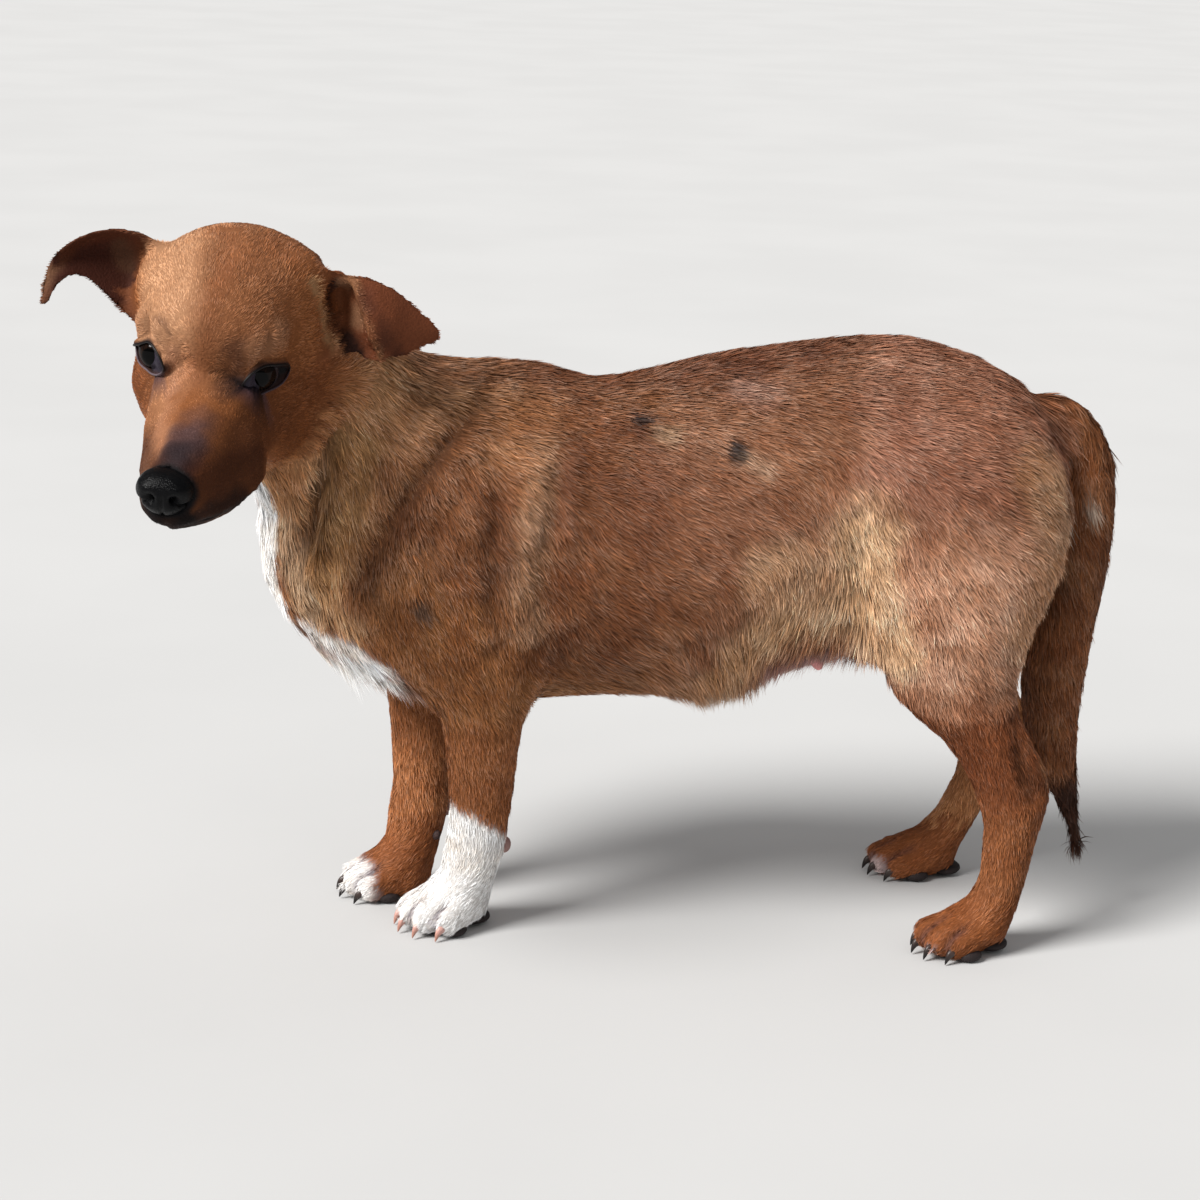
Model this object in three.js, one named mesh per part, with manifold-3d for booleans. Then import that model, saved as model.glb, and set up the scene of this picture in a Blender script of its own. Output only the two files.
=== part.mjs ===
// A small, short-legged, short-coated mixed-breed dog, standing with its head turned to its left.
// Millimetres, +Z up, floor at z = 0. The dog faces -X, its left side is -Y and its mid-plane is y = 0
// until the whole group is moved so that the middle of its footprint lies at the origin.
// The flesh is one blended distance field, out to the tips of the coat: negative inside, close to
// millimetres outside. Each flesh node is that field's surface, cut off at the planes where parts meet.
import * as THREE from 'three';
import Module from 'manifold-3d';
import { mergeVertices } from 'three/addons/utils/BufferGeometryUtils.js';

const wasm = await Module();
wasm.setup();

// ---- driving dimensions ------------------------------------------------------------------------
const GAP = 0.4;             // clear space between two nodes that meet
const LEFT = -1;             // sign of y on the dog's left side
const RIGHT = 1;
const DEG = Math.PI / 180;

// trunk sections at x: top of back, underline, half width, height of the widest place
const TRUNK = [
  [-158, 232, 172, 30, 200],
  [-140, 262, 150, 50, 205],
  [-115, 290, 134, 61, 214],
  [-80, 306, 126, 67, 218],
  [-40, 311, 124, 69, 216],
  [-8, 304, 126, 70, 212],
  [20, 309, 128, 72, 212],
  [50, 317, 130, 73, 214],
  [85, 323, 138, 72, 220],
  [115, 327, 146, 68, 228],
  [145, 330, 163, 64, 238],
  [175, 326, 178, 62, 242],
  [205, 315, 190, 56, 240],
  [228, 300, 205, 45, 242],
  [242, 280, 224, 26, 248],
];

// foreleg sections at height z: front, back, half width, distance of the middle from the mid-plane
const FORELEG = [
  [178, -104, -34, 27, 42],
  [150, -97, -38, 24, 41],
  [130, -92, -42, 21, 39],
  [108, -88, -45, 18.5, 36],
  [86, -86, -47, 16.5, 33],
  [66, -85, -49, 16, 30],
  [50, -87, -50, 16.5, 28],
  [36, -88, -54, 15.5, 26],
  [22, -92, -58, 16.5, 25],
  [8, -94, -62, 16, 24],
];
const FORELEG_RIGHT_AHEAD = 30;       // the right forefoot stands this far ahead of the left one

// hind leg sections at height z: front, back, half width, distance of the middle from the mid-plane
const HINDLEG = [
  [235, 132, 236, 26, 40],
  [212, 125, 239, 32, 43],
  [192, 127, 234, 32, 45],
  [172, 133, 226, 29, 47],
  [156, 141, 221, 26, 49],
  [143, 149, 219, 23.5, 51],
  [130, 162, 223, 21, 53],
  [118, 177, 230, 19, 54],
  [104, 188, 238, 17, 56],
  [92, 195, 241, 15.5, 57],
  [78, 201, 238, 14.5, 58],
  [57, 203, 233, 13.5, 59],
  [40, 201, 230, 14, 59],
  [26, 196, 226, 15.5, 59],
  [10, 188, 221, 16, 59],
];
// how far back each section of the right hind leg stands from the left one, at height z
const HINDLEG_RIGHT_BACK = [[0, -8], [28, -3], [90, 15], [130, 12], [170, 4], [220, 0]];

// the four feet: middle of the sole and the way the toes point, in degrees outwards from -X
const FEET = {
  fore_left: { side: LEFT, at: [-86, -25], turn: 40, length: 52, width: 46 },
  fore_right: { side: RIGHT, at: [-117, 24], turn: -8, length: 52, width: 44 },
  hind_left: { side: LEFT, at: [194, -59], turn: 26, length: 54, width: 42 },
  hind_right: { side: RIGHT, at: [190, 61], turn: -6, length: 54, width: 42 },
};

// tail: middle of each section down its length, and half its thickness
const TAIL = [
  [222, 0, 285, 15], [241, 1, 285, 16], [257, 2, 270, 17], [263, 2, 242, 18], [260.5, 2, 210, 20],
  [255, 2, 175, 21], [250.5, 2, 142, 21], [251.5, 2, 112, 18.5], [259, 2, 82, 13], [267, 2, 60, 8], [272, 2, 38, 4.5],
];
const TAIL_FLAT = 0.82;               // its thickness across over its thickness fore and aft

// neck: middle of each section from the chest to the skull, and half its thickness
const NECK = [
  [-84, 0, 230, 66], [-118, -4, 252, 61], [-146, -14, 277, 55], [-170, -30, 302, 49], [-190, -48, 320, 44],
];

// head: middle between the eyes, and how far it turns to its left, drops its nose and tilts left side down
const EYES_AT = [-208, -105, 323];
const HEAD_TURN = 82.5;
const HEAD_DROP = 11.3;
const HEAD_TILT = 4.9;
const EYE_RADIUS = 10.5;
// forward, left, up from the middle between the eyes
const EYES = { eye_left: [-6.5, 23.5, -1.5], eye_right: [-6.5, -24.5, 2.5] };
const NOSE_AT = [85, -2.5, -29.5];
const NOSE_HALF = [10, 13.5, 11];

// ---- distance fields ---------------------------------------------------------------------------
const blend = (a, b, width) => {
  const near = Math.max(width - Math.abs(a - b), 0) / width;
  return Math.min(a, b) - near * near * width / 4;
};

const blendAll = (fields, width) => p => fields.reduce((d, field) => blend(d, field(p), width), 1e3);

// an ellipse's or ellipsoid's distance, from scaled lengths
const rounded = (offsets, radii) => {
  const k0 = Math.hypot(...offsets.map((o, i) => o / radii[i]));
  const k1 = Math.hypot(...offsets.map((o, i) => o / radii[i] ** 2));
  return k1 > 0 ? k0 * (k0 - 1) / k1 : -Math.min(...radii);
};

const ellipsoid = (at, radii) => p => rounded([p[0] - at[0], p[1] - at[1], p[2] - at[2]], radii);

// smooth values between stations, held constant past the first and last one
const stations = rows => {
  const sorted = [...rows].sort((a, b) => a[0] - b[0]);
  const size = rows[0].length - 1;
  const curve = new THREE.CubicInterpolant(sorted.map(r => r[0]), sorted.flatMap(r => r.slice(1)), size);
  const [first, last] = [sorted[0][0], sorted.at(-1)[0]];
  return t => {
    const clamped = Math.min(Math.max(t, first), last);
    return { values: [...curve.evaluate(clamped)], past: Math.abs(t - clamped) };
  };
};

// a solid whose sections across x are egg shapes between a top and an underline, each moved aside a little
const barrel = (rows, asides = [[0, 0], [1, 0]]) => {
  const at = stations(rows);
  const asideAt = stations(asides);
  return p => {
    const { values: [top, bottom, half, widest], past } = at(p[0]);
    const tall = p[2] > widest ? top - widest : widest - bottom;
    const d = rounded([p[1] - asideAt(p[0]).values[0], p[2] - widest], [half, tall]);
    return past > 0 ? Math.hypot(Math.max(d, 0), past) : d;
  };
};

// a leg whose level sections are ellipses; place(z) moves each section along x
const column = (rows, side, place) => {
  const at = stations(rows);
  return p => {
    const { values: [front, back, half, out], past } = at(p[2]);
    const d = rounded([p[0] - (front + back) / 2 - place(p[2]), p[1] - side * out], [(back - front) / 2, half]);
    return past > 0 ? Math.hypot(Math.max(d, 0), past) : d;
  };
};

// a round tube of changing thickness along a smooth curve, flattened across y
const tube = (rows, flat = 1, steps = 28) => {
  const path = new THREE.CatmullRomCurve3(rows.map(r => new THREE.Vector3(r[0], r[1], r[2])));
  const size = stations(rows.map((r, i) => [i / (rows.length - 1), r[3]]));
  const balls = Array.from({ length: steps + 1 }, (_, i) => {
    const q = path.getPoint(i / steps);
    return [q.x, q.y / flat, q.z, size(i / steps).values[0]];
  });
  return p => {
    let best = 1e3;
    for (let i = 0; i < steps; i++) {
      const [a, b] = [balls[i], balls[i + 1]];
      const d = [b[0] - a[0], b[1] - a[1], b[2] - a[2]];
      const v = [p[0] - a[0], p[1] / flat - a[1], p[2] - a[2]];
      const along = (v[0] * d[0] + v[1] * d[1] + v[2] * d[2]) / (d[0] ** 2 + d[1] ** 2 + d[2] ** 2);
      const t = Math.min(Math.max(along, 0), 1);
      const away = Math.hypot(v[0] - t * d[0], v[1] - t * d[1], v[2] - t * d[2]);
      best = Math.min(best, away - a[3] - t * (b[3] - a[3]));
    }
    return best;
  };
};

// a field that is only worked out inside its box, and counts as far away outside it
const FAR = 45;
const bounded = (low, high, field) => p =>
  p.some((c, k) => c < low[k] - FAR || c > high[k] + FAR) ? FAR : field(p);

// ---- head --------------------------------------------------------------------------------------
// Head coordinates run forward, left and up from the middle between the eyes.
const headFrame = (() => {
  const level = new THREE.Matrix4().makeBasis(
    new THREE.Vector3(-1, 0, 0), new THREE.Vector3(0, -1, 0), new THREE.Vector3(0, 0, 1));
  const turn = new THREE.Matrix4().makeRotationZ(HEAD_TURN * DEG);
  const drop = new THREE.Matrix4().makeRotationY(HEAD_DROP * DEG);
  const tilt = new THREE.Matrix4().makeRotationX(-HEAD_TILT * DEG);
  return turn.multiply(level).multiply(drop).multiply(tilt).setPosition(...EYES_AT);
})();
const headInverse = headFrame.clone().invert();
const inHead = p => new THREE.Vector3(...p).applyMatrix4(headInverse).toArray();

// muzzle and lower face sections at f: top, bottom, half width, height of the widest place
const MUZZLE = [
  [-40, 12, -50, 31, -26],
  [-15, 9, -50, 31, -28],
  [4, 4, -52, 30.5, -34],
  [18, 0, -54, 31.5, -40],
  [34, -4, -56, 30.5, -42],
  [52, -8, -56, 26.5, -42],
  [68, -11, -54, 21.5, -40],
  [80, -14, -52, 17.5, -37],
  [88, -20, -48, 12.5, -34],
];
// the jaw sits a little to the left of the nose: at f, how far
const MUZZLE_ASIDE = [[-20, 0], [4, 2], [20, 4], [40, 5], [60, 4.5], [80, 2], [90, 0]];

const headField = (() => {
  const skull = blendAll([
    ellipsoid([-44, 1, 10], [49, 43.5, 47]),
    ellipsoid([-52, 16, 26], [32, 28, 26]),
    ellipsoid([-10, 0, 14], [27, 33, 25]),
    ellipsoid([-5, 19, 14], [12, 14, 8]),
    ellipsoid([-9, -25, 14], [14, 14, 9]),
    ellipsoid([-29, 26, -13], [27, 13, 18]),
    ellipsoid([-29, -24, -13], [27, 12, 18]),
    ellipsoid([-31, 28, -35], [34, 18, 24]),
    ellipsoid([-36, -26, -26], [27, 17, 24]),
    ellipsoid([-50, 36, 28], [18, 15, 20]),
    ellipsoid([-46, -34, 22], [14, 12, 18]),
  ], 11);
  const muzzle = barrel(MUZZLE, MUZZLE_ASIDE);
  return p => {
    const q = inHead(p);
    return blend(skull(q), muzzle(q), 12);
  };
})();

// ---- whole flesh -------------------------------------------------------------------------------
const foot = ({ side, at, turn, length, width }) => {
  const angle = (side === LEFT ? turn : -turn) * DEG;
  const [ahead, across] = [[-Math.cos(angle), -Math.sin(angle)], [Math.sin(angle), -Math.cos(angle)]];
  const toe = (a, b, radii) => ellipsoid([a, b, radii[2] - 0.6], radii);
  const inner = toe(length * 0.30, width * 0.13, [length * 0.22, width * 0.16, 10.5]);
  const outer = toe(length * 0.18, width * 0.36, [length * 0.21, width * 0.155, 9.5]);
  const pads = blendAll([
    ellipsoid([0, 0, 12], [length * 0.34, width * 0.40, 14]),
    ellipsoid([-length * 0.24, 0, 7], [length * 0.25, width * 0.34, 9]),
  ], 8);
  return p => {
    const q = [
      (p[0] - at[0]) * ahead[0] + (p[1] - at[1]) * ahead[1],
      (p[0] - at[0]) * across[0] + (p[1] - at[1]) * across[1], p[2]];
    const folded = [q[0], Math.abs(q[1]), q[2]];
    const toes = blend(inner(folded), outer(folded), 1.5);
    return blend(pads(q), toes, 5);
  };
};

const rightBack = stations(HINDLEG_RIGHT_BACK);
const legs = {
  fore_left: column(FORELEG, LEFT, () => 0),
  fore_right: column(FORELEG, RIGHT, () => -FORELEG_RIGHT_AHEAD),
  hind_left: column(HINDLEG, LEFT, () => 0),
  hind_right: column(HINDLEG, RIGHT, z => rightBack(z).values[0]),
};

const limb = Object.fromEntries(Object.entries(FEET).map(([name, shape]) => {
  const sole = foot(shape);
  const fore = name.startsWith('fore');
  const [low, high] = fore ? [[-160, -70, 0], [-30, 70, 180]] : [[110, -85, 0], [250, 85, 240]];
  return [name, bounded(low, high, p => blend(legs[name](p), sole(p), 10))];
}));

const trunkField = blendAll([
  barrel(TRUNK),
  bounded([-190, -45, 150], [-90, 45, 260], ellipsoid([-140, 0, 205], [48, 44, 52])),
  bounded([-160, -75, 140], [-40, 0, 270], ellipsoid([-92, -42, 205], [48, 30, 62])),
  bounded([-160, 0, 140], [-40, 75, 270], ellipsoid([-104, 42, 205], [48, 30, 62])),
  bounded([125, -75, 180], [250, 0, 300], ellipsoid([186, -40, 240], [58, 34, 54])),
  bounded([125, 0, 180], [250, 75, 300], ellipsoid([186, 40, 240], [58, 34, 54])),
], 26);
const neckField = bounded([-240, -110, 160], [-20, 70, 370], tube(NECK, 0.92));
const headBounded = bounded([-270, -210, 240], [-130, 20, 390], headField);
const tailField = tube(TAIL, TAIL_FLAT, 36);

const flesh = p => {
  const trunk = blend(blend(trunkField(p), neckField(p), 34), headBounded(p), 16);
  const front = blend(limb.fore_left(p), limb.fore_right(p), 1);
  const rear = blend(limb.hind_left(p), limb.hind_right(p), 1);
  return blend(blend(trunk, front, 16), rear, 18);
};

// ---- surfaces ----------------------------------------------------------------------------------
const gradient = (field, p, step) => [0, 1, 2].map(k => {
  const [a, b] = [[...p], [...p]];
  a[k] -= step;
  b[k] += step;
  return (field(b) - field(a)) / (2 * step);
});

const ontoSurface = (field, p, reach) => {
  const g = gradient(field, p, 0.5);
  const size = Math.max(g[0] ** 2 + g[1] ** 2 + g[2] ** 2, 0.05);
  const move = Math.min(Math.max(field(p) / size, -reach), reach);
  return p.map((value, k) => value - move * g[k]);
};

// the field's zero surface in a box as surface nets: a vertex in every crossed cell, a quad across
// every crossed grid edge, then evened out and drawn onto the surface
const surface = (field, low, high, cell) => {
  const n = [0, 1, 2].map(k => Math.ceil((high[k] - low[k]) / cell) + 1);
  const key = (i, j, k) => i + n[0] * (j + n[1] * k);
  const place = ijk => ijk.map((c, k) => low[k] + c * cell);
  const edge = ijk => ijk.some((c, k) => c === 0 || c === n[k] - 1);
  const value = new Float64Array(n[0] * n[1] * n[2]);
  for (let k = 0; k < n[2]; k++) for (let j = 0; j < n[1]; j++) for (let i = 0; i < n[0]; i++) {
    value[key(i, j, k)] = edge([i, j, k]) ? cell : field(place([i, j, k]));
  }
  const corners = [0, 1, 2, 3, 4, 5, 6, 7].map(c => [c & 1, (c >> 1) & 1, c >> 2]);
  const edges = corners.flatMap((a, ia) => [1, 2, 4].filter(bit => !(ia & bit)).map(bit => [ia, ia | bit]));
  const vertexOf = new Map();
  const points = [];
  const fixed = [];
  for (let k = 0; k < n[2] - 1; k++) for (let j = 0; j < n[1] - 1; j++) for (let i = 0; i < n[0] - 1; i++) {
    const v = corners.map(c => value[key(i + c[0], j + c[1], k + c[2])]);
    if (v.every(x => x < 0) || v.every(x => x >= 0)) continue;
    const hits = edges.filter(([a, b]) => (v[a] < 0) !== (v[b] < 0)).map(([a, b]) => {
      const t = v[a] / (v[a] - v[b]);
      return corners[a].map((c, axis) => c + t * (corners[b][axis] - c));
    });
    const middle = [0, 1, 2].map(axis => hits.reduce((sum, h) => sum + h[axis], 0) / hits.length);
    vertexOf.set(key(i, j, k), points.length);
    points.push(place([i + middle[0], j + middle[1], k + middle[2]]));
    fixed.push(corners.some(c => edge([i + c[0], j + c[1], k + c[2]])));
  }
  const quads = [];
  for (let k = 0; k < n[2] - 1; k++) for (let j = 0; j < n[1] - 1; j++) for (let i = 0; i < n[0] - 1; i++) {
    for (let axis = 0; axis < 3; axis++) {
      const step = [0, 0, 0];
      step[axis] = 1;
      const here = value[key(i, j, k)] < 0;
      const next = value[key(i + step[0], j + step[1], k + step[2])] < 0;
      if (here === next) continue;
      const [u, w] = [(axis + 1) % 3, (axis + 2) % 3];
      const ring = [[0, 0], [-1, 0], [-1, -1], [0, -1]].map(([du, dw]) => {
        const c = [i, j, k];
        c[u] += du;
        c[w] += dw;
        return vertexOf.get(key(...c));
      });
      quads.push(here ? ring : ring.reverse());
    }
  }
  return { points, fixed, quads };
};

const settle = (field, { points, fixed, quads }, cell, rounds = 4) => {
  const neighbours = points.map(() => new Set());
  quads.forEach(q => q.forEach((v, i) => {
    neighbours[v].add(q[(i + 1) % 4]);
    neighbours[v].add(q[(i + 3) % 4]);
  }));
  for (let round = 0; round < rounds; round++) {
    const evened = points.map((p, v) => {
      if (fixed[v]) return p;
      const near = [...neighbours[v]].map(i => points[i]);
      return p.map((x, k) => 0.5 * x + 0.5 * near.reduce((sum, q) => sum + q[k], 0) / near.length);
    });
    evened.forEach((p, v) => {
      if (fixed[v]) return;
      points[v] = ontoSurface(field, ontoSurface(field, p, cell / 2), cell / 2);
    });
  }
};

const distance = (a, b) => Math.hypot(a[0] - b[0], a[1] - b[1], a[2] - b[2]);

const splitQuads = ({ points, quads }) => quads.flatMap(([a, b, c, d]) =>
  distance(points[a], points[c]) < distance(points[b], points[d])
    ? [[a, b, c], [a, c, d]] : [[b, c, d], [b, d, a]]);

// ---- thinning ----------------------------------------------------------------------------------
const cross = (a, b) => [a[1] * b[2] - a[2] * b[1], a[2] * b[0] - a[0] * b[2], a[0] * b[1] - a[1] * b[0]];
const minus = (a, b) => [a[0] - b[0], a[1] - b[1], a[2] - b[2]];
const dot = (a, b) => a[0] * b[0] + a[1] * b[1] + a[2] * b[2];
const facing = (points, [a, b, c]) => cross(minus(points[b], points[a]), minus(points[c], points[a]));

// how far a point lies from the planes of the triangles given, squared and weighed by their areas
const strain = (points, triangles, p) => triangles.reduce((sum, t) => {
  const n = facing(points, t);
  const size = Math.hypot(...n) || 1;
  return sum + dot(n, minus(p, points[t[0]])) ** 2 / size;
}, 0);

const fans = (count, triangles) => {
  const fan = Array.from({ length: count }, () => []);
  triangles.forEach(t => t.forEach(v => fan[v].push(t)));
  return fan;
};

// one pass: the edges whose loss bends the surface least are drawn together, none beside another
const thinOnce = (field, net, triangles, most) => {
  const { points, fixed } = net;
  const fan = fans(points.length, triangles);
  const edges = triangles.flatMap(([a, b, c]) => [[a, b], [b, c], [c, a]])
    .filter(([a, b]) => a < b && !fixed[a] && !fixed[b])
    .map(([a, b]) => {
      const middle = points[a].map((x, k) => (x + points[b][k]) / 2);
      const at = ontoSurface(field, middle, 2);
      const both = [...fan[a], ...fan[b]];
      return { a, b, at, cost: strain(points, both, at) + 0.002 * distance(points[a], points[b]) ** 2 };
    })
    .sort((e, g) => e.cost - g.cost);
  const busy = new Set();
  const gone = new Set();
  let lost = 0;
  for (const { a, b, at } of edges) {
    if (lost >= most) break;
    if (busy.has(a) || busy.has(b)) continue;
    const [ringA, ringB] = [a, b].map(v => new Set(fan[v].flat().filter(w => w !== v)));
    if ([...ringA].filter(v => ringB.has(v)).length !== 2) continue;
    const kept = [...fan[a], ...fan[b]].filter(t => !(t.includes(a) && t.includes(b)));
    const turned = kept.some(t => {
      const before = facing(points, t);
      const moved = t.map(v => (v === a || v === b ? at : points[v]));
      const after = cross(minus(moved[1], moved[0]), minus(moved[2], moved[0]));
      return dot(before, after) < 0.6 * Math.hypot(...before) * Math.hypot(...after);
    });
    if (turned) continue;
    fan[a].filter(t => t.includes(b)).forEach(t => gone.add(t));
    fan[b].forEach(t => t.forEach((v, i) => { if (v === b) t[i] = a; }));
    points[a] = at;
    [...ringA, ...ringB].forEach(v => busy.add(v));
    lost += 2;
  }
  return triangles.filter(t => !gone.has(t));
};

// a share of the triangles is kept, apart from those that close the box, which are cut away later
const thin = (field, net, share) => {
  let triangles = splitQuads(net);
  const closing = triangles.filter(t => t.some(v => net.fixed[v])).length;
  const wanted = closing + (triangles.length - closing) * share;
  for (let before = Infinity; triangles.length > wanted && triangles.length < before;) {
    before = triangles.length;
    triangles = thinOnce(field, net, triangles, Math.min(before - wanted, before * 0.12));
  }
  return triangles;
};

// ---- solids ------------------------------------------------------------------------------------
const toSolid = geometry => {
  const bare = geometry.clone();
  bare.deleteAttribute('normal');
  bare.deleteAttribute('uv');
  const merged = mergeVertices(bare, 1e-4);
  return new wasm.Manifold(new wasm.Mesh({
    numProp: 3, vertProperties: new Float32Array(merged.attributes.position.array),
    triVerts: new Uint32Array(merged.index.array) }));
};

const toGeometry = solid => {
  const mesh = solid.getMesh();
  const geometry = new THREE.BufferGeometry();
  geometry.setAttribute('position', new THREE.BufferAttribute(mesh.vertProperties, 3));
  geometry.setIndex(new THREE.BufferAttribute(mesh.triVerts, 1));
  return geometry;
};

const netSolid = (points, triangles) => {
  const used = [...new Set(triangles.flat())];
  const renumber = new Map(used.map((v, i) => [v, i]));
  return new wasm.Manifold(new wasm.Mesh({
    numProp: 3, vertProperties: new Float32Array(used.flatMap(v => points[v])),
    triVerts: new Uint32Array(triangles.flat().map(v => renumber.get(v))) }));
};

// the field's surface in a box, sampled at a cell size and thinned to a share of its triangles
const fieldSolid = (field, [low, high], cell, share) => {
  const net = surface(field, low, high, cell);
  settle(field, net, cell);
  const triangles = thin(field, net, share);
  return netSolid(net.points, triangles);
};

// the same surface twice: as it is, and moved out along its normals to cut a socket for it
const solidAndSocket = (field, [low, high], cell, share) => {
  const net = surface(field, low, high, cell);
  settle(field, net, cell);
  const triangles = thin(field, net, share);
  const grown = net.points.map(p => {
    const g = gradient(field, p, 0.5);
    return p.map((x, k) => x + 1.5 * GAP * g[k] / (Math.hypot(...g) || 1));
  });
  return { solid: netSolid(net.points, triangles), socket: netSolid(grown, triangles) };
};

// a block that holds everything on the far side of a plane, starting half a gap past it
const HUGE = 900;
const beyond = (at, normal, clear = GAP / 2) => {
  const n = new THREE.Vector3(...normal).normalize();
  const block = new THREE.BoxGeometry(HUGE, HUGE, HUGE);
  block.applyQuaternion(new THREE.Quaternion().setFromUnitVectors(new THREE.Vector3(0, 0, 1), n));
  const middle = new THREE.Vector3(...at).addScaledVector(n, HUGE / 2 - clear);
  return toSolid(block.translate(middle.x, middle.y, middle.z));
};

const trim = (solid, cuts) => cuts.reduce((kept, [at, normal]) => kept.subtract(beyond(at, normal)), solid);

const flip = ([at, normal]) => [at, normal.map(c => -c)];

// the convex room in front of a set of cuts, reaching half a gap past each one
const room = cuts => {
  const block = toSolid(new THREE.BoxGeometry(HUGE, HUGE, HUGE));
  return cuts.reduce((kept, [at, normal]) => kept.subtract(beyond(at, normal, -GAP / 2)), block);
};

// ---- where the parts meet ----------------------------------------------------------------------
const level = z => [[0, 0, z], [0, 0, 1]];
const FLOOR = [[0, 0, -GAP / 2], [0, 0, -1]];
const NAPE = [[-171, -30, 299], [-0.62, -0.50, 0.58]];
const NECK_BASE = [[-126, 0, 262], [-0.57, -0.05, 0.82]];
const WAIST = [[18, 0, 0], [1, 0, 0]];
const FLANK = [[122, 0, 0], [1, 0, 0]];
const ELBOW = level(122);
const CARPUS = level(46);
const KNEE = level(147);
const HOCK = level(88);
const PASTERN = level(36);
const THIGH_FRONT = [[127, 0, 200], [-0.935, 0, -0.355]];

// the room that each part of a leg takes: the shoulder and thigh lie below a slope down to the mid-plane
const innerSide = (side, y) => [[0, side * y, 0], [0, -side, 0]];
const shoulderRoom = side => [
  [[0, side * 82, 222], [0, side * -0.82, 0.57]], flip(ELBOW), [[-134, 0, 0], [-1, 0, 0]], [[-24, 0, 0], [1, 0, 0]]];
const thighRoom = side => [
  [[0, side * 82, 246], [0, side * -0.72, 0.69]], flip(KNEE), innerSide(side, 2), THIGH_FRONT];
const belowElbow = side => [ELBOW, innerSide(side, 1), [[-24, 0, 0], [1, 0, 0]]];
const belowKnee = side => [KNEE, innerSide(side, 2), [[142, 0, 0], [-1, 0, 0]]];

// ---- ears --------------------------------------------------------------------------------------
// An ear is a thin leaf: two edges from root to tip, and a hollow between them that faces one way.
const EAR_THICK = 4.2;
const EARS = {
  ear_left: {
    upper: [[-44, 36, 36], [-46, 47, 40], [-50, 60, 39.5], [-54, 76.5, 35], [-58, 92.5, 24], [-60, 109, 8.5]],
    lower: [[-34, 48, -4], [-36, 56, -3], [-38, 65, -4.5], [-43, 76, -5.5], [-51, 91, -2.5], [-60, 106, 4]],
    hollow: [[-12, -2, 2], [-15, 2, 3], [0, 2, 2], [7, 2, 2], [4, 0, 0], [0, 0, 0]],
  },
  ear_right: {
    upper: [[-42, -30, 43], [-43, -41, 48], [-42, -61, 48.5], [-38, -77, 40], [-34, -86, 30], [-28, -90, 9.5]],
    lower: [[-40, -44, 0], [-40, -54, 10], [-40, -62, 16], [-38, -72, 23], [-32, -79, 22], [-28, -86, 8]],
    hollow: [[-14, 0, 0], [-15, 0, 2], [-13, 0, 3], [-8, -3, 3], [-3, -3, 1], [0, 0, 0]],
  },
};

const curveThrough = points => new THREE.CatmullRomCurve3(points.map(p => new THREE.Vector3(...p)));

// both faces of the leaf as rings of points round each section, closed over root and tip
const earGeometry = ({ upper, lower, hollow }, side, grow = 0) => {
  const [rings, across] = [9, 5];
  const [up, down, deep] = [upper, lower, hollow].map(curveThrough);
  const leaf = (s, t) => {
    const [a, b, c] = [up.getPoint(s), down.getPoint(s), deep.getPoint(s)];
    return a.lerp(b, t).addScaledVector(c, 4 * t * (1 - t));
  };
  const normalAt = (s, t) => {
    const e = 0.02;
    const ds = leaf(Math.min(s + e, 1), t).sub(leaf(Math.max(s - e, 0), t));
    const dt = leaf(s, t + e).sub(leaf(s, t - e));
    return ds.cross(dt).normalize().multiplyScalar(side);
  };
  const half = (s, t) => EAR_THICK / 2 * Math.sqrt(0.12 + 0.88 * 4 * t * (1 - t)) * (1 - 0.35 * s) + grow;
  const loops = Array.from({ length: rings + 1 }, (_, i) => {
    const s = i / rings;
    const margin = 2 * grow / up.getPoint(s).distanceTo(down.getPoint(s));
    const row = sign => Array.from({ length: across + 1 }, (_, j) => {
      const t = j / across;
      const wide = t * (1 + 2 * margin) - margin;
      return leaf(s, wide).addScaledVector(normalAt(s, wide), sign * half(s, t));
    });
    return [...row(1), ...row(-1).reverse()];
  });
  loops[0].forEach((p, i) => p.addScaledVector(p.clone().sub(loops[1][i]).normalize(), 2 * grow));
  const count = loops[0].length;
  const at = (i, j) => i * count + (j % count);
  const index = [];
  for (let i = 0; i < rings; i++) for (let j = 0; j < count; j++) {
    index.push(at(i, j), at(i, j + 1), at(i + 1, j + 1), at(i, j), at(i + 1, j + 1), at(i + 1, j));
  }
  for (let j = 0; j < across; j++) {
    const [a, b, c, d] = [j, j + 1, count - 2 - j, count - 1 - j];
    index.push(at(0, a), at(0, d), at(0, c), at(0, a), at(0, c), at(0, b));
    index.push(at(rings, a), at(rings, c), at(rings, d), at(rings, a), at(rings, b), at(rings, c));
  }
  const geometry = new THREE.BufferGeometry();
  const places = loops.flat().flatMap(p => p.toArray());
  geometry.setAttribute('position', new THREE.Float32BufferAttribute(places, 3));
  geometry.setIndex(side < 0 ? index : index.reverse());
  return geometry.applyMatrix4(headFrame);
};

// ---- eyes, nose and claws ----------------------------------------------------------------------
const eyeGeometry = (at, grow = 0) => new THREE.SphereGeometry(EYE_RADIUS + grow, 12, 7)
  .translate(...at).applyMatrix4(headFrame);

const noseGeometry = (grow = 0) => new THREE.SphereGeometry(1, 12, 7)
  .scale(...NOSE_HALF.map(r => r + grow)).translate(...NOSE_AT).applyMatrix4(headFrame);

// a claw is a turned cone with a round butt, lying along -X before it is placed
const CLAW = { length: 10, radius: 2.5, sides: 5, dip: 32 };
const clawGeometry = (grow = 0) => {
  const { length, radius } = { length: CLAW.length, radius: CLAW.radius + grow };
  const profile = [
    [0, -grow], [radius, -grow], [radius * 0.8, length * 0.55],
    [radius * 0.25, length + grow], [0, length + grow]];
  return new THREE.LatheGeometry(profile.map(([r, h]) => new THREE.Vector2(r, h)), CLAW.sides);
};

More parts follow.
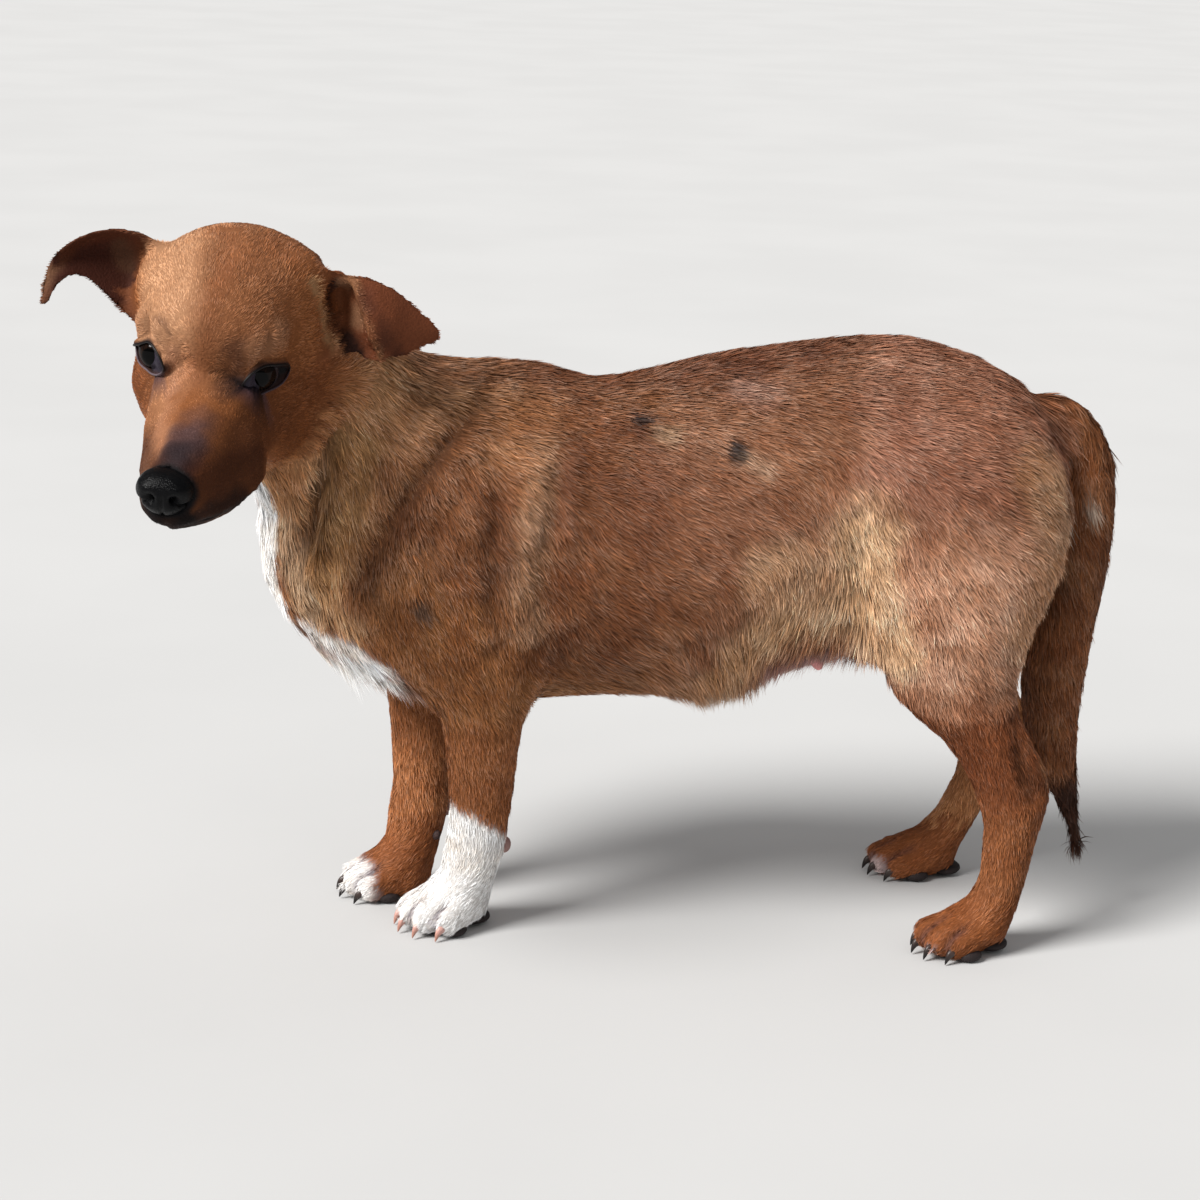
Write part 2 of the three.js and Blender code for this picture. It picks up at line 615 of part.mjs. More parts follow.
const placeClaw = (geometry, foot, along, across, height) => {
  const angle = (foot.side === LEFT ? foot.turn : -foot.turn) * DEG;
  const ahead = new THREE.Vector3(-Math.cos(angle), -Math.sin(angle), 0);
  const left = new THREE.Vector3(Math.sin(angle), -Math.cos(angle), 0);
  const at = new THREE.Vector3(foot.at[0], foot.at[1], height)
    .addScaledVector(ahead, along).addScaledVector(left, across);
  const aim = ahead.clone().multiplyScalar(Math.cos(CLAW.dip * DEG));
  aim.z -= Math.sin(CLAW.dip * DEG);
  geometry.applyQuaternion(new THREE.Quaternion().setFromUnitVectors(new THREE.Vector3(0, 1, 0), aim));
  return geometry.translate(at.x, at.y, at.z);
};

const clawSpots = foot => [-1, 1].flatMap(way => [
  { along: foot.length * 0.41, across: way * foot.width * 0.13, height: 7.5 },
  { along: foot.length * 0.28, across: way * foot.width * 0.37, height: 7 },
]);

// ---- materials ---------------------------------------------------------------------------------
const look = (color, roughness) => new THREE.MeshStandardMaterial({ color, roughness, metalness: 0 });
const COAT = look(0xa8663a, 0.85);
const PALE_COAT = look(0xe8dccd, 0.85);
const EAR_COAT = look(0x6f3a22, 0.85);
const NOSE_SKIN = look(0x17161a, 0.35);
const EYE_GLASS = look(0x1c120d, 0.1);
const CLAW_HORN = look(0x2a211d, 0.4);

// ---- assembly ----------------------------------------------------------------------------------
const dog = new THREE.Group();
const add = (name, geometry, material) => {
  const mesh = new THREE.Mesh(geometry, material);
  mesh.name = name;
  dog.add(mesh);
  return mesh;
};

// sampling cell of each part's surface, and the share of its triangles that is kept
const CELL = { trunk: 11, shank: 9, pastern: 8, head: 6, tail: 6, paw: 5 };
const KEPT = { trunk: 0.193, thick: 0.28, thin: 0.29, head: 0.136, tail: 0.185, paw: 0.133 };

// head, with holes for the ears, the eyes and the nose
const earHoles = Object.entries(EARS).map(([name, shape]) => {
  const side = name === 'ear_left' ? 1 : -1;
  add(name, earGeometry(shape, side), EAR_COAT);
  return earGeometry(shape, side, GAP);
});
const eyeHoles = Object.entries(EYES).map(([name, at]) => {
  add(name, eyeGeometry(at), EYE_GLASS);
  return eyeGeometry(at, GAP);
});
add('nose', noseGeometry(), NOSE_SKIN);
const headHoles = [...earHoles, ...eyeHoles, noseGeometry(GAP)].map(toSolid);
const without = (solid, holes) => holes.reduce((kept, hole) => kept.subtract(hole), solid);
const headBox = [[-285, -215, 235], [-115, 10, 400]];
const headBlock = trim(fieldSolid(flesh, headBox, CELL.head, KEPT.head), [flip(NAPE)]);
add('head', toGeometry(without(headBlock, headHoles)), COAT);

// neck and trunk, with the rooms of the legs and the socket of the tail left out
const tail = solidAndSocket(tailField, [[195, -35, 20], [300, 40, 320]], CELL.tail, KEPT.tail);
add('tail', toGeometry(tail.solid), COAT);
const trunkHoles = [
  ...[LEFT, RIGHT].flatMap(side =>
    [shoulderRoom, thighRoom, belowElbow, belowKnee].map(cuts => room(cuts(side)))),
  tail.socket];
const bodyPart = (name, box, cuts) =>
  add(name, toGeometry(without(trim(fieldSolid(flesh, box, CELL.trunk, KEPT.trunk), cuts), trunkHoles)), COAT);
bodyPart('neck', [[-250, -110, 180], [-30, 80, 380]], [NAPE, flip(NECK_BASE)]);
bodyPart('chest', [[-215, -100, 95], [40, 100, 335]], [NECK_BASE, WAIST]);
bodyPart('belly', [[-5, -100, 95], [145, 100, 350]], [flip(WAIST), FLANK]);
bodyPart('rump', [[95, -100, 130], [275, 100, 350]], [flip(FLANK)]);

// legs and feet, each foot flat underneath and with a hole for each claw
const outwards = (side, near, far) => (side === LEFT ? [-far, -near] : [near, far]);
const legParts = {
  fore: [
    { part: 'upper_arm', room: shoulderRoom, x: [-165, 10], y: [-25, 105], z: [92, 262],
      cell: CELL.trunk, share: KEPT.thick },
    { part: 'forearm', room: belowElbow, base: CARPUS, x: [-175, 0], y: [-6, 85], z: [22, 150],
      cell: CELL.shank, share: KEPT.thin },
    { part: 'forepaw', room: belowElbow, top: CARPUS, x: [-175, -25], y: [-6, 85], z: [-12, 62],
      cell: CELL.paw, share: KEPT.paw }],
  hind: [
    { part: 'thigh', room: thighRoom, x: [90, 275], y: [-25, 105], z: [115, 285],
      cell: CELL.trunk, share: KEPT.thick },
    { part: 'shank', room: belowKnee, base: HOCK, x: [110, 275], y: [-25, 95], z: [62, 178],
      cell: CELL.shank, share: KEPT.thin },
    { part: 'hind_pastern', room: belowKnee, top: HOCK, base: PASTERN, x: [140, 275], y: [10, 95], z: [16, 110],
      cell: CELL.pastern, share: KEPT.thin },
    { part: 'hindpaw', room: belowKnee, top: PASTERN, x: [140, 265], y: [10, 100], z: [-12, 50],
      cell: CELL.paw, share: KEPT.paw }],
};
const clawed = (solid, place, shape) => clawSpots(shape).reduce((kept, { along, across, height }, i) => {
  add(`claw_${place}_${i + 1}`, placeClaw(clawGeometry(), shape, along, across, height), CLAW_HORN);
  return kept.subtract(toSolid(placeClaw(clawGeometry(GAP), shape, along, across, height)));
}, solid);
Object.entries(FEET).forEach(([place, shape]) => {
  const [end, sideName] = place.split('_');
  legParts[end].forEach(({ part, room: roomOf, top, base, x, y, z, cell, share }) => {
    const [yLow, yHigh] = outwards(shape.side, y[0], y[1]);
    const isPaw = part.endsWith('paw');
    const box = [[x[0], yLow, z[0]], [x[1], yHigh, z[1]]];
    const ends = [...(top ? [top] : []), ...(base ? [flip(base)] : []), ...(isPaw ? [FLOOR] : [])];
    const cuts = [...roomOf(shape.side), ...ends];
    const block = trim(fieldSolid(isPaw ? limb[place] : flesh, box, cell, share), cuts);
    const colour = isPaw && place === 'fore_left' ? PALE_COAT : COAT;
    add(`${part}_${sideName}`, toGeometry(isPaw ? clawed(block, place, shape) : block), colour);
  });
});

// the footprint's middle is the origin
const reach = new THREE.Box3().setFromObject(dog);
dog.position.set(-(reach.min.x + reach.max.x) / 2, -(reach.min.y + reach.max.y) / 2, 0);
export default dog;
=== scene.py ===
"""A small, short-legged, short-coated mixed-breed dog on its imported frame: skin, coat, eyes, nose and claws.

Lengths are millimetres unless a name or docstring says metres. Two sets of axes are used besides the frame's:
body axes run back (x), to the dog's right (y) and up (z) from the floor under the mid-plane, and head axes run
forward (f), to the dog's left (l) and up (u) from the middle between the eyes.
"""

import logging
import math
from dataclasses import dataclass, field, replace
from enum import Enum
from itertools import product

import bpy
import numpy as np
from mathutils import Matrix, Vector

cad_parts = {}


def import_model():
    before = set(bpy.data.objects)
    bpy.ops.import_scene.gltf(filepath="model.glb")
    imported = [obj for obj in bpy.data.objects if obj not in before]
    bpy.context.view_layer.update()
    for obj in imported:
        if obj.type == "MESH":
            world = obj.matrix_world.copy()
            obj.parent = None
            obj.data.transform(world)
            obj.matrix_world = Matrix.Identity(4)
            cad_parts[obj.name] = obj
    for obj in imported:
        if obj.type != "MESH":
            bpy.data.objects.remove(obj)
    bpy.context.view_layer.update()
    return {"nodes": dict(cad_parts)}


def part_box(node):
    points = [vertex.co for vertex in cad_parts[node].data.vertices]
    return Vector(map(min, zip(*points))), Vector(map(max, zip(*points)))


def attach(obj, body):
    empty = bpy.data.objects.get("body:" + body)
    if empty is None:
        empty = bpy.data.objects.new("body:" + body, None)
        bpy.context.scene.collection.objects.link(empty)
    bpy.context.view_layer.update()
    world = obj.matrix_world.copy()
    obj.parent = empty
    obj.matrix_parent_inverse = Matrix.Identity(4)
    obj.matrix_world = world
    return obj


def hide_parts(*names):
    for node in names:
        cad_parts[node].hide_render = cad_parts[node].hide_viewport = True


Array = np.ndarray
Triple = tuple[float, float, float]
MM = 0.001

log = logging.getLogger("dog")


class Side(Enum):
    """The dog's own sides, with the sign of l in head axes."""

    LEFT = 1
    RIGHT = -1

    @property
    def word(self) -> str:
        """The side's name as node names spell it."""
        return self.name.lower()


# ---- small maths ---------------------------------------------------------------------------------
def unit(v: Array) -> Array:
    """Each row divided by its length."""
    v = np.asarray(v, float)
    return v / np.maximum(np.linalg.norm(v, axis=-1, keepdims=True), 1e-12)


def ease(x: Array, low: float, high: float) -> Array:
    """Runs smoothly from 0 at low to 1 at high, as 3t^2 - 2t^3."""
    t = np.clip((x - low) / (high - low), 0, 1)
    return t * t * (3 - 2 * t)


def hill(x: Array, width: float) -> Array:
    """A bell of height 1 round x = 0: exp(-(x / width)^2)."""
    return np.exp(-((x / width) ** 2))


def off_middle(p: Array, middle: Triple, half: Triple) -> Array:
    """How far points are from a middle, as a share of the half sizes that an ellipsoid round it has."""
    return np.linalg.norm((p - np.array(middle)) / half, axis=1)


def mirrored(p: Array) -> Array:
    """Points brought to the side where the second coordinate is positive."""
    return np.stack([p[:, 0], np.abs(p[:, 1]), p[:, 2]], 1)


def laid_over(tone: Array, cover: Array, colour: Array) -> Array:
    """Scene-linear colours with another laid over them, by a share for each point."""
    return tone + cover[:, None] * (colour - tone)


def tangent(v: Array, normals: Array) -> Array:
    """The part of each vector that lies in the surface, made a unit vector."""
    return unit(v - (v * normals).sum(1, keepdims=True) * normals)


def linear(colour: Triple) -> Array:
    """A colour in display values 0 to 255 as scene-linear values."""
    c = np.asarray(colour, float) / 255
    return np.where(c <= 0.04045, c / 12.92, ((c + 0.055) / 1.055) ** 2.4)


def along_line(p: Array, line: Array) -> tuple[Array, Array]:
    """Distance of each point from a polyline, and how far along it the nearest place is.

    Args:
        p: points, one per row.
        line: the polyline's corners, one per row.

    Returns:
        The distances, and the places from 0 at the first corner to 1 at the last.
    """
    best = np.full(len(p), 1e9)
    place = np.zeros(len(p))
    steps = len(line) - 1
    for i, (a, b) in enumerate(zip(line[:-1], line[1:])):
        run = b - a
        t = np.clip(((p - a) @ run) / (run @ run), 0, 1)
        away = np.linalg.norm(p - a - t[:, None] * run, axis=1)
        nearer = away < best
        best = np.where(nearer, away, best)
        place = np.where(nearer, (i + t) / steps, place)
    return best, place


class Noise:
    """Smooth noise from -1 to 1: seeded values on a cubic lattice, eased between its corners."""

    SIDE = 32

    def __init__(self, seed: int) -> None:
        """Draws the lattice for a seed."""
        self.values = np.random.default_rng(seed).uniform(-1, 1, (self.SIDE,) * 3)

    def at(self, p: Array, cell: float) -> Array:
        """The noise at points, for a lattice cell of a given size in the points' unit.

        Args:
            p: Points.
            cell: The size of a lattice cell.

        Returns:
            One value per point.
        """
        q = p / cell
        low = np.floor(q).astype(np.int64)
        part = ease(q - low, 0, 1)
        total = np.zeros(len(p))
        for corner in product((0, 1), repeat=3):
            i = (low + corner) % self.SIDE
            weight = np.where(corner, part, 1 - part).prod(1)
            total += weight * self.values[i[:, 0], i[:, 1], i[:, 2]]
        return total


@dataclass(frozen=True)
class Axes:
    """A set of axes with its own origin, measured in millimetres.

    Args:
        origin: the origin in the frame, metres.
        rows: the three unit axes in the frame, one per row.
    """

    origin: Array
    rows: Array

    def local(self, p: Array) -> Array:
        """Frame points in metres as millimetres on these axes."""
        return (np.asarray(p) - self.origin) @ self.rows.T / MM

    def world(self, q: Array) -> Array:
        """Millimetres on these axes as frame points in metres."""
        return self.origin + np.asarray(q, float) @ self.rows * MM

    def turn(self, v: Array) -> Array:
        """A direction on these axes as a direction in the frame."""
        return np.asarray(v, float) @ self.rows


def box_middle(node: str) -> Array:
    """The middle of a node's box, metres."""
    low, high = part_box(node)
    return (np.array(low) + np.array(high)) / 2


BELLY_FRONT = 18.2
HEAD_MARKS = {"eye_left": (-6.5, 23.5, -1.5), "eye_right": (-6.5, -24.5, 2.5), "nose": (85.0, -2.5, -29.5)}


def head_axes() -> Axes:
    """The head's axes: the shift and turn that carry the known places of the eyes and nose onto their nodes.

    Returns:
        The axes in which HEAD_MARKS gives its places.
    """
    known = np.array(list(HEAD_MARKS.values())) * MM
    found = np.array([box_middle(node) for node in HEAD_MARKS])
    before, _, after = np.linalg.svd((known - known.mean(0)).T @ (found - found.mean(0)))
    mirror = np.diag([1, 1, np.sign(np.linalg.det(before @ after))])
    rows = before @ mirror @ after
    return Axes(found.mean(0) - known.mean(0) @ rows, rows)


def body_axes() -> Axes:
    """The body's axes: the mid-plane runs through the chest, and the belly begins a known way behind the origin."""
    low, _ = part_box("belly")
    return Axes(np.array([low[0] - BELLY_FRONT * MM, box_middle("chest")[1], 0.0]), np.eye(3))


# ---- surfaces ------------------------------------------------------------------------------------
@dataclass
class Net:
    """A closed triangle net with named values on its points.

    Args:
        points: places in metres.
        faces: three point numbers for each triangle, anticlockwise from outside.
        values: arrays with one row for each point.
    """

    points: Array
    faces: Array
    values: dict[str, Array] = field(default_factory=dict)

    def edges(self) -> Array:
        """Each edge once, as two point numbers.

        Returns:
            Two columns, the smaller number first.
        """
        sides = np.sort(self.faces[:, [[0, 1], [1, 2], [2, 0]]].reshape(-1, 2), axis=1)
        keys = np.unique(sides[:, 0] * len(self.points) + sides[:, 1])
        return np.stack([keys // len(self.points), keys % len(self.points)], 1)

    def face_cross(self) -> Array:
        """Each face's normal times twice its area."""
        a, b, c = (self.points[self.faces[:, k]] for k in range(3))
        return np.cross(b - a, c - a)

    def normals(self) -> Array:
        """Unit normals at the points, weighted by area.

        Returns:
            One row per point.
        """
        cross = self.face_cross()
        corners, count = self.faces.T, len(self.points)
        return unit(np.stack([sum(np.bincount(c, part, count) for c in corners) for part in cross.T], 1))

    def push(self, amount: Array) -> None:
        """Moves each point along its normal by a number of millimetres."""
        self.points = self.points + self.normals() * amount[:, None] * MM

    def spread(self, values: Array, rounds: int, share: float = 0.5) -> Array:
        """Evens values out: each round moves each point a share of the way to its neighbours' mean.

        Args:
            values: A number or a row per point.
            rounds: How often.
            share: The part of the way, in each round.

        Returns:
            The values, evened out.
        """
        flat = values.reshape(len(values), -1).astype(float)
        a, b = self.edges().T
        count = np.bincount(a, minlength=len(flat)) + np.bincount(b, minlength=len(flat))
        for _ in range(rounds):
            mean = np.stack(
                [(np.bincount(a, v[b], len(flat)) + np.bincount(b, v[a], len(flat))) / count for v in flat.T], 1
            )
            flat = flat + share * (mean - flat)
        return flat.reshape(values.shape)

    def relax(self, rounds: int, where: Array | None = None) -> None:
        """Smooths the points without shrinking: a step towards the neighbours' mean, then a larger step back.

        Args:
            rounds: How often.
            where: How far each point may move, from 0 to 1, or None for all.
        """
        keep = 1.0 if where is None else where[:, None]
        for _ in range(rounds):
            for share in (0.5, -0.53):
                moved = self.spread(self.points, 1, share)
                self.points = self.points + keep * (moved - self.points)

    def bend(self, direction: Array) -> Array:
        """How fast the surface curves away along a direction at each point, per metre.

        Over each edge this is the turn of the normal along the edge divided by the edge's length squared, averaged
        with the squared cosine between edge and direction as its weight.

        Args:
            direction: A unit row per point.

        Returns:
            One number per point, positive on a ridge.
        """
        normals = self.normals()
        a, b = self.edges().T
        run = self.points[b] - self.points[a]
        size = np.maximum((run * run).sum(1), 1e-12)
        curve = ((normals[b] - normals[a]) * run).sum(1) / size
        total, weight = np.zeros(len(self.points)), np.full(len(self.points), 1e-9)
        for end in (a, b):
            w = (run * direction[end]).sum(1) ** 2 / size
            total += np.bincount(end, w * curve, len(self.points))
            weight += np.bincount(end, w, len(self.points))
        return total / weight

    def refined(self, near: Array) -> "Net":
        """The net with each triangle whose three points are marked cut in four, and its neighbours cut to fit.

        Args:
            near: Whether each point is marked.

        Returns:
            The finer net, with its values carried over.
        """
        n, faces = len(self.points), self.faces
        sides = np.sort(faces[:, [[0, 1], [1, 2], [2, 0]]], axis=2)
        keys, edge = np.unique(sides[..., 0].ravel() * n + sides[..., 1].ravel(), return_inverse=True)
        edge = edge.reshape(-1, 3)
        split = np.zeros(len(keys), bool)
        split[edge[near[faces].all(1)].ravel()] = True
        number = np.full(len(keys), -1)
        number[split] = n + np.arange(split.sum())
        ends = np.stack([keys[split] // n, keys[split] % n], 1)
        middle = number[edge]
        count = (middle >= 0).sum(1)
        parts = [faces[count == 0]]
        (a, b, c), (ab, bc, ca) = faces[count == 3].T, middle[count == 3].T
        parts += [np.stack(t, 1) for t in ((a, ab, ca), (ab, b, bc), (ca, bc, c), (ab, bc, ca))]
        for r in range(3):
            f, m = np.roll(faces, -r, axis=1), np.roll(middle, -r, axis=1)
            one = (count == 1) & (m[:, 0] >= 0)
            (a, b, c), ab = f[one].T, m[one, 0]
            parts += [np.stack(t, 1) for t in ((a, ab, c), (ab, b, c))]
            two = (count == 2) & (m[:, 2] < 0)
            (a, b, c), (ab, bc) = f[two].T, m[two, :2].T
            parts += [np.stack(t, 1) for t in ((ab, b, bc), (a, ab, bc), (a, bc, c))]
        grown = {k: np.concatenate([v, v[ends].mean(1)]) for k, v in self.values.items()}
        return Net(np.concatenate([self.points, self.points[ends].mean(1)]), np.concatenate(parts), grown)


def make_object(name: str, points: Array, faces: Array, smooth: bool = True) -> bpy.types.Object:
    """Puts arrays into a new mesh object at the origin.

    Args:
        name: the piece's name.
        points: places in metres.
        faces: point numbers, three or four per row.
        smooth: whether the faces are shaded smooth.

    Returns:
        The object, linked to the scene.
    """
    mesh = bpy.data.meshes.new(name)
    sides = faces.shape[1]
    mesh.vertices.add(len(points))
    mesh.vertices.foreach_set("co", np.ascontiguousarray(points, np.float32).ravel())
    mesh.loops.add(faces.size)
    mesh.loops.foreach_set("vertex_index", np.ascontiguousarray(faces, np.int32).ravel())
    mesh.polygons.add(len(faces))
    mesh.polygons.foreach_set("loop_start", np.arange(0, faces.size, sides, dtype=np.int32))
    mesh.polygons.foreach_set("use_smooth", np.full(len(faces), smooth))
    mesh.update(calc_edges=True)
    mesh.validate()
    piece = bpy.data.objects.new(name, mesh)
    bpy.context.scene.collection.objects.link(piece)
    return piece


def net_of(mesh: bpy.types.Mesh) -> Net:
    """A mesh's points and triangles as a net.

    Args:
        mesh: The mesh, of faces with any number of corners.

    Returns:
        The net, with no values.
    """
    mesh.calc_loop_triangles()
    co = np.zeros(len(mesh.vertices) * 3, np.float32)
    mesh.vertices.foreach_get("co", co)
    tri = np.zeros(len(mesh.loop_triangles) * 3, np.int32)
    mesh.loop_triangles.foreach_get("vertices", tri)
    return Net(co.reshape(-1, 3).astype(float), tri.reshape(-1, 3).astype(np.int64))


def merged_net(node: bpy.types.Object) -> Net:
    """A copy of a CAD node's loose triangles with the points they share made one.

    Args:
        node: The node's object.

    Returns:
        The net of the copy.
    """
    loose = net_of(node.data)
    points, number = np.unique(np.round(loose.points, 6), axis=0, return_inverse=True)
    return Net(points, number.reshape(-1)[loose.faces])


def closed_object(name: str, points: Array, faces: Array) -> bpy.types.Object:
    """A new closed mesh object, its faces turned outwards by the sign of its volume.

    Args:
        name: The piece's name.
        points: Points in metres.
        faces: Rows of point numbers.

    Returns:
        The object.
    """
    piece = make_object(name, points, faces)
    net = net_of(piece.data)
    net.points -= net.points.mean(0)
    if (net.points[net.faces[:, 0]] * net.face_cross()).sum() < 0:
        piece.data.flip_normals()
    return piece


def store(piece: bpy.types.Object, name: str, values: Array) -> None:
    """Stores one number, three or four per point as a named attribute.

    Args:
        piece: The object.
        name: The attribute's name.
        values: A number or a row per point.
    """
    kind, key = {1: ("FLOAT", "value"), 3: ("FLOAT_VECTOR", "vector"), 4: ("FLOAT_COLOR", "color")}[
        values.size // len(values)
    ]
    layer = piece.data.attributes.new(name, kind, "POINT")
    layer.data.foreach_set(key, np.ascontiguousarray(values, np.float32).ravel())


def set_tone(piece: bpy.types.Object, tone: Array) -> None:
    """Stores scene-linear colours on the points as the attribute named tone."""
    store(piece, "tone", np.column_stack([np.clip(tone, 0, 1), np.ones(len(tone))]))


def grid_faces(rows: int, columns: int) -> Array:
    """Quads of a grid of points stored row by row, closed round each row.

    Args:
        rows: How many rows.
        columns: How many points in a row.

    Returns:
        Rows of four point numbers.
    """
    i, j = np.meshgrid(np.arange(rows - 1), np.arange(columns), indexing="ij")
    k = (j + 1) % columns
    return np.stack([i * columns + j, i * columns + k, (i + 1) * columns + k, (i + 1) * columns + j], -1).reshape(-1, 4)


def ball_grid(rows: int, columns: int) -> tuple[Array, Array]:
    """Directions over a sphere and triangles between them, with one point at each pole.

    Directions are (sin a cos b, sin a sin b, cos a), with a running from pole to pole and b round the third axis.

    Args:
        rows: How many places of a, poles included.
        columns: How many places of b.

    Returns:
        The directions, and rows of three numbers.
    """
    a = np.linspace(0, math.pi, rows)[1:-1, None]
    b = np.linspace(0, 2 * math.pi, columns, endpoint=False)[None, :]
    ring = np.stack([np.sin(a) * np.cos(b), np.sin(a) * np.sin(b), np.cos(a) + 0 * b], -1).reshape(-1, 3)
    directions = np.concatenate([ring, [[0, 0, 1], [0, 0, -1]]])
    quads = grid_faces(rows - 2, columns)
    top, bottom, last = len(ring), len(ring) + 1, (rows - 3) * columns
    j = np.arange(columns)
    k = (j + 1) % columns
    faces = [quads[:, [0, 3, 2]], quads[:, [0, 2, 1]], np.stack([np.full(columns, top), j, k], 1)]
    faces.append(np.stack([np.full(columns, bottom), last + k, last + j], 1))
    return directions, np.concatenate(faces)


# ---- materials -----------------------------------------------------------------------------------
class Wire:
    """A node socket that Python's operators work on: each operator adds one Math node."""

    def __init__(self, maker: "Finish", socket: bpy.types.NodeSocket) -> None:
        """Wraps an output socket of a finish's node tree."""
        self.maker, self.socket = maker, socket

    def _math(self, operation: str, *others: "float | Wire") -> "Wire":
        """Adds a Math node on these values."""
        return self.maker.add("ShaderNodeMath", {"operation": operation}, dict(enumerate(others)))

    def __add__(self, other: "float | Wire") -> "Wire":
        """Sum."""
        return self._math("ADD", self, other)

    def __mul__(self, other: "float | Wire") -> "Wire":
        """Product."""
        return self._math("MULTIPLY", self, other)

    def between(self, low: float, high: float) -> "Wire":
        """0 below low, 1 above high and smooth between them."""
        settings = {"interpolation_type": "SMOOTHSTEP"}
        return self.maker.add("ShaderNodeMapRange", settings, {0: self, 1: low, 2: high})


class Finish:
    """A procedural material, built through one method that adds nodes."""

    def __init__(self, name: str, **constants: float) -> None:
        """Makes the material and sets the Principled shader's constants by socket name.

        Args:
            name: The finish's name.
            **constants: Values by socket name, with _ for a space.
        """
        self.material = bpy.data.materials.new(name)
        self.material.use_nodes = True
        self.tree = self.material.node_tree
        self.shader = self.tree.nodes["Principled BSDF"]
        for socket, value in constants.items():
            self.shader.inputs[socket.replace("_", " ")].default_value = value

    def add(self, kind: str, settings: dict | None = None, inputs: dict | None = None, output: int = 0) -> Wire:
        """Adds a node.

        Args:
            kind: the node's type.
            settings: its properties, set before its sockets.
            inputs: socket names or numbers and their values or wires.
            output: which output the returned wire is on.

        Returns:
            A wire on that output.
        """
        node = self.tree.nodes.new(kind)
        for key, value in (settings or {}).items():
            setattr(node, key, value)
        for key, value in (inputs or {}).items():
            if isinstance(value, Wire):
                self.tree.links.new(value.socket, node.inputs[key])
            else:
                node.inputs[key].default_value = value
        return Wire(self, node.outputs[output])

    def place(self) -> Wire:
        """Object coordinates."""
        return self.add("ShaderNodeTexCoord", output=3)

    def grain(self, scale: float, detail: float = 3.0, where: Wire | None = None) -> Wire:
        """Noise on object coordinates."""
        return self.add("ShaderNodeTexNoise", None, {"Vector": where or self.place(), "Scale": scale, "Detail": detail})

    def cells(self, scale: float, feature: str) -> Wire:
        """Rounded cells on object coordinates, as the named distance in them."""
        return self.add("ShaderNodeTexVoronoi", {"feature": feature}, {"Vector": self.place(), "Scale": scale})

    def attribute(self, name: str, output: int = 0) -> Wire:
        """A named attribute: output 0 is its colour and 2 its number."""
        return self.add("ShaderNodeAttribute", {"attribute_name": name}, output=output)

    def mix(self, share: "float | Wire", a: "Wire | tuple", b: "Wire | tuple", how: str = "MIX") -> Wire:
        """Two colours mixed by a share."""
        node = {"data_type": "RGBA", "blend_type": how}
        return self.add("ShaderNodeMix", node, {0: share, 6: a, 7: b}, output=2)

    def tint(self, share: Wire, by: Triple) -> None:
        """Colours the surface by the points' tone, multiplied by a colour as far as share says."""
        self.wear(Base_Color=self.mix(share, self.attribute("tone"), (*by, 1.0), "MULTIPLY"))

    def wear(self, **wires: Wire) -> None:
        """Links wires to the shader's sockets by name."""
        for socket, wire in wires.items():
            self.tree.links.new(wire.socket, self.shader.inputs[socket.replace("_", " ")])

    def bump(self, height: Wire, depth: float) -> None:
        """Raises the surface by a height pattern, in metres."""
        self.wear(Normal=self.add("ShaderNodeBump", None, {"Strength": 1.0, "Distance": depth, "Height": height}))

    def dress(self, piece: bpy.types.Object) -> None:
        """Gives the finish to a piece."""
        piece.data.materials.clear()
        piece.data.materials.append(self.material)


def rgba(colour: Triple) -> tuple[float, float, float, float]:
    """A display colour as a scene-linear socket value."""
    return (*linear(colour), 1.0)


def skin_finish() -> Finish:
    """Skin under the coat: its tone carries the markings and painted light and shade, mottled, with fine creases, and
    moist where it is wet.

    Returns:
        The finish.
    """
    finish = Finish("skin_under_coat", Roughness=0.7, Specular_IOR_Level=0.12)
    fine = finish.grain(900.0, 4.0)
    finish.tint(fine.between(0.35, 0.7) * 0.5, (0.62, 0.56, 0.55))
    finish.wear(Roughness=finish.attribute("wet", 2) * -0.25 + 0.72)
    finish.bump(fine, 0.0005)
    return finish


def coat_finish() -> Finish:
    """Hair: the markings and painted light and shade on each tuft, with a faint gloss that varies from lock to lock.

    Returns:
        The finish.
    """
    finish = Finish("coat_hair", Roughness=0.55, Specular_IOR_Level=0.14)
    finish.tint(finish.grain(450.0, 2.0).between(0.35, 0.75) * 0.25, (0.8, 0.76, 0.74))
    finish.wear(Roughness=finish.grain(120.0, 1.0) * 0.2 + 0.45)
    return finish


def nose_finish() -> Finish:
    """Nose leather: black, moist and pebbled, a little greyer on the pebbles than between them.

    Returns:
        The finish.
    """
    finish = Finish("nose_leather", Roughness=0.3, Specular_IOR_Level=0.1)
    pebble = finish.cells(1250.0, "DISTANCE_TO_EDGE")
    finish.wear(Base_Color=finish.mix(pebble.between(0.0, 0.22), rgba((4, 4, 5)), rgba((9, 9, 11))))
    finish.wear(Roughness=finish.grain(260.0) * 0.12 + 0.26)
    finish.bump(pebble.between(0.0, 0.3), 0.00007)
    return finish


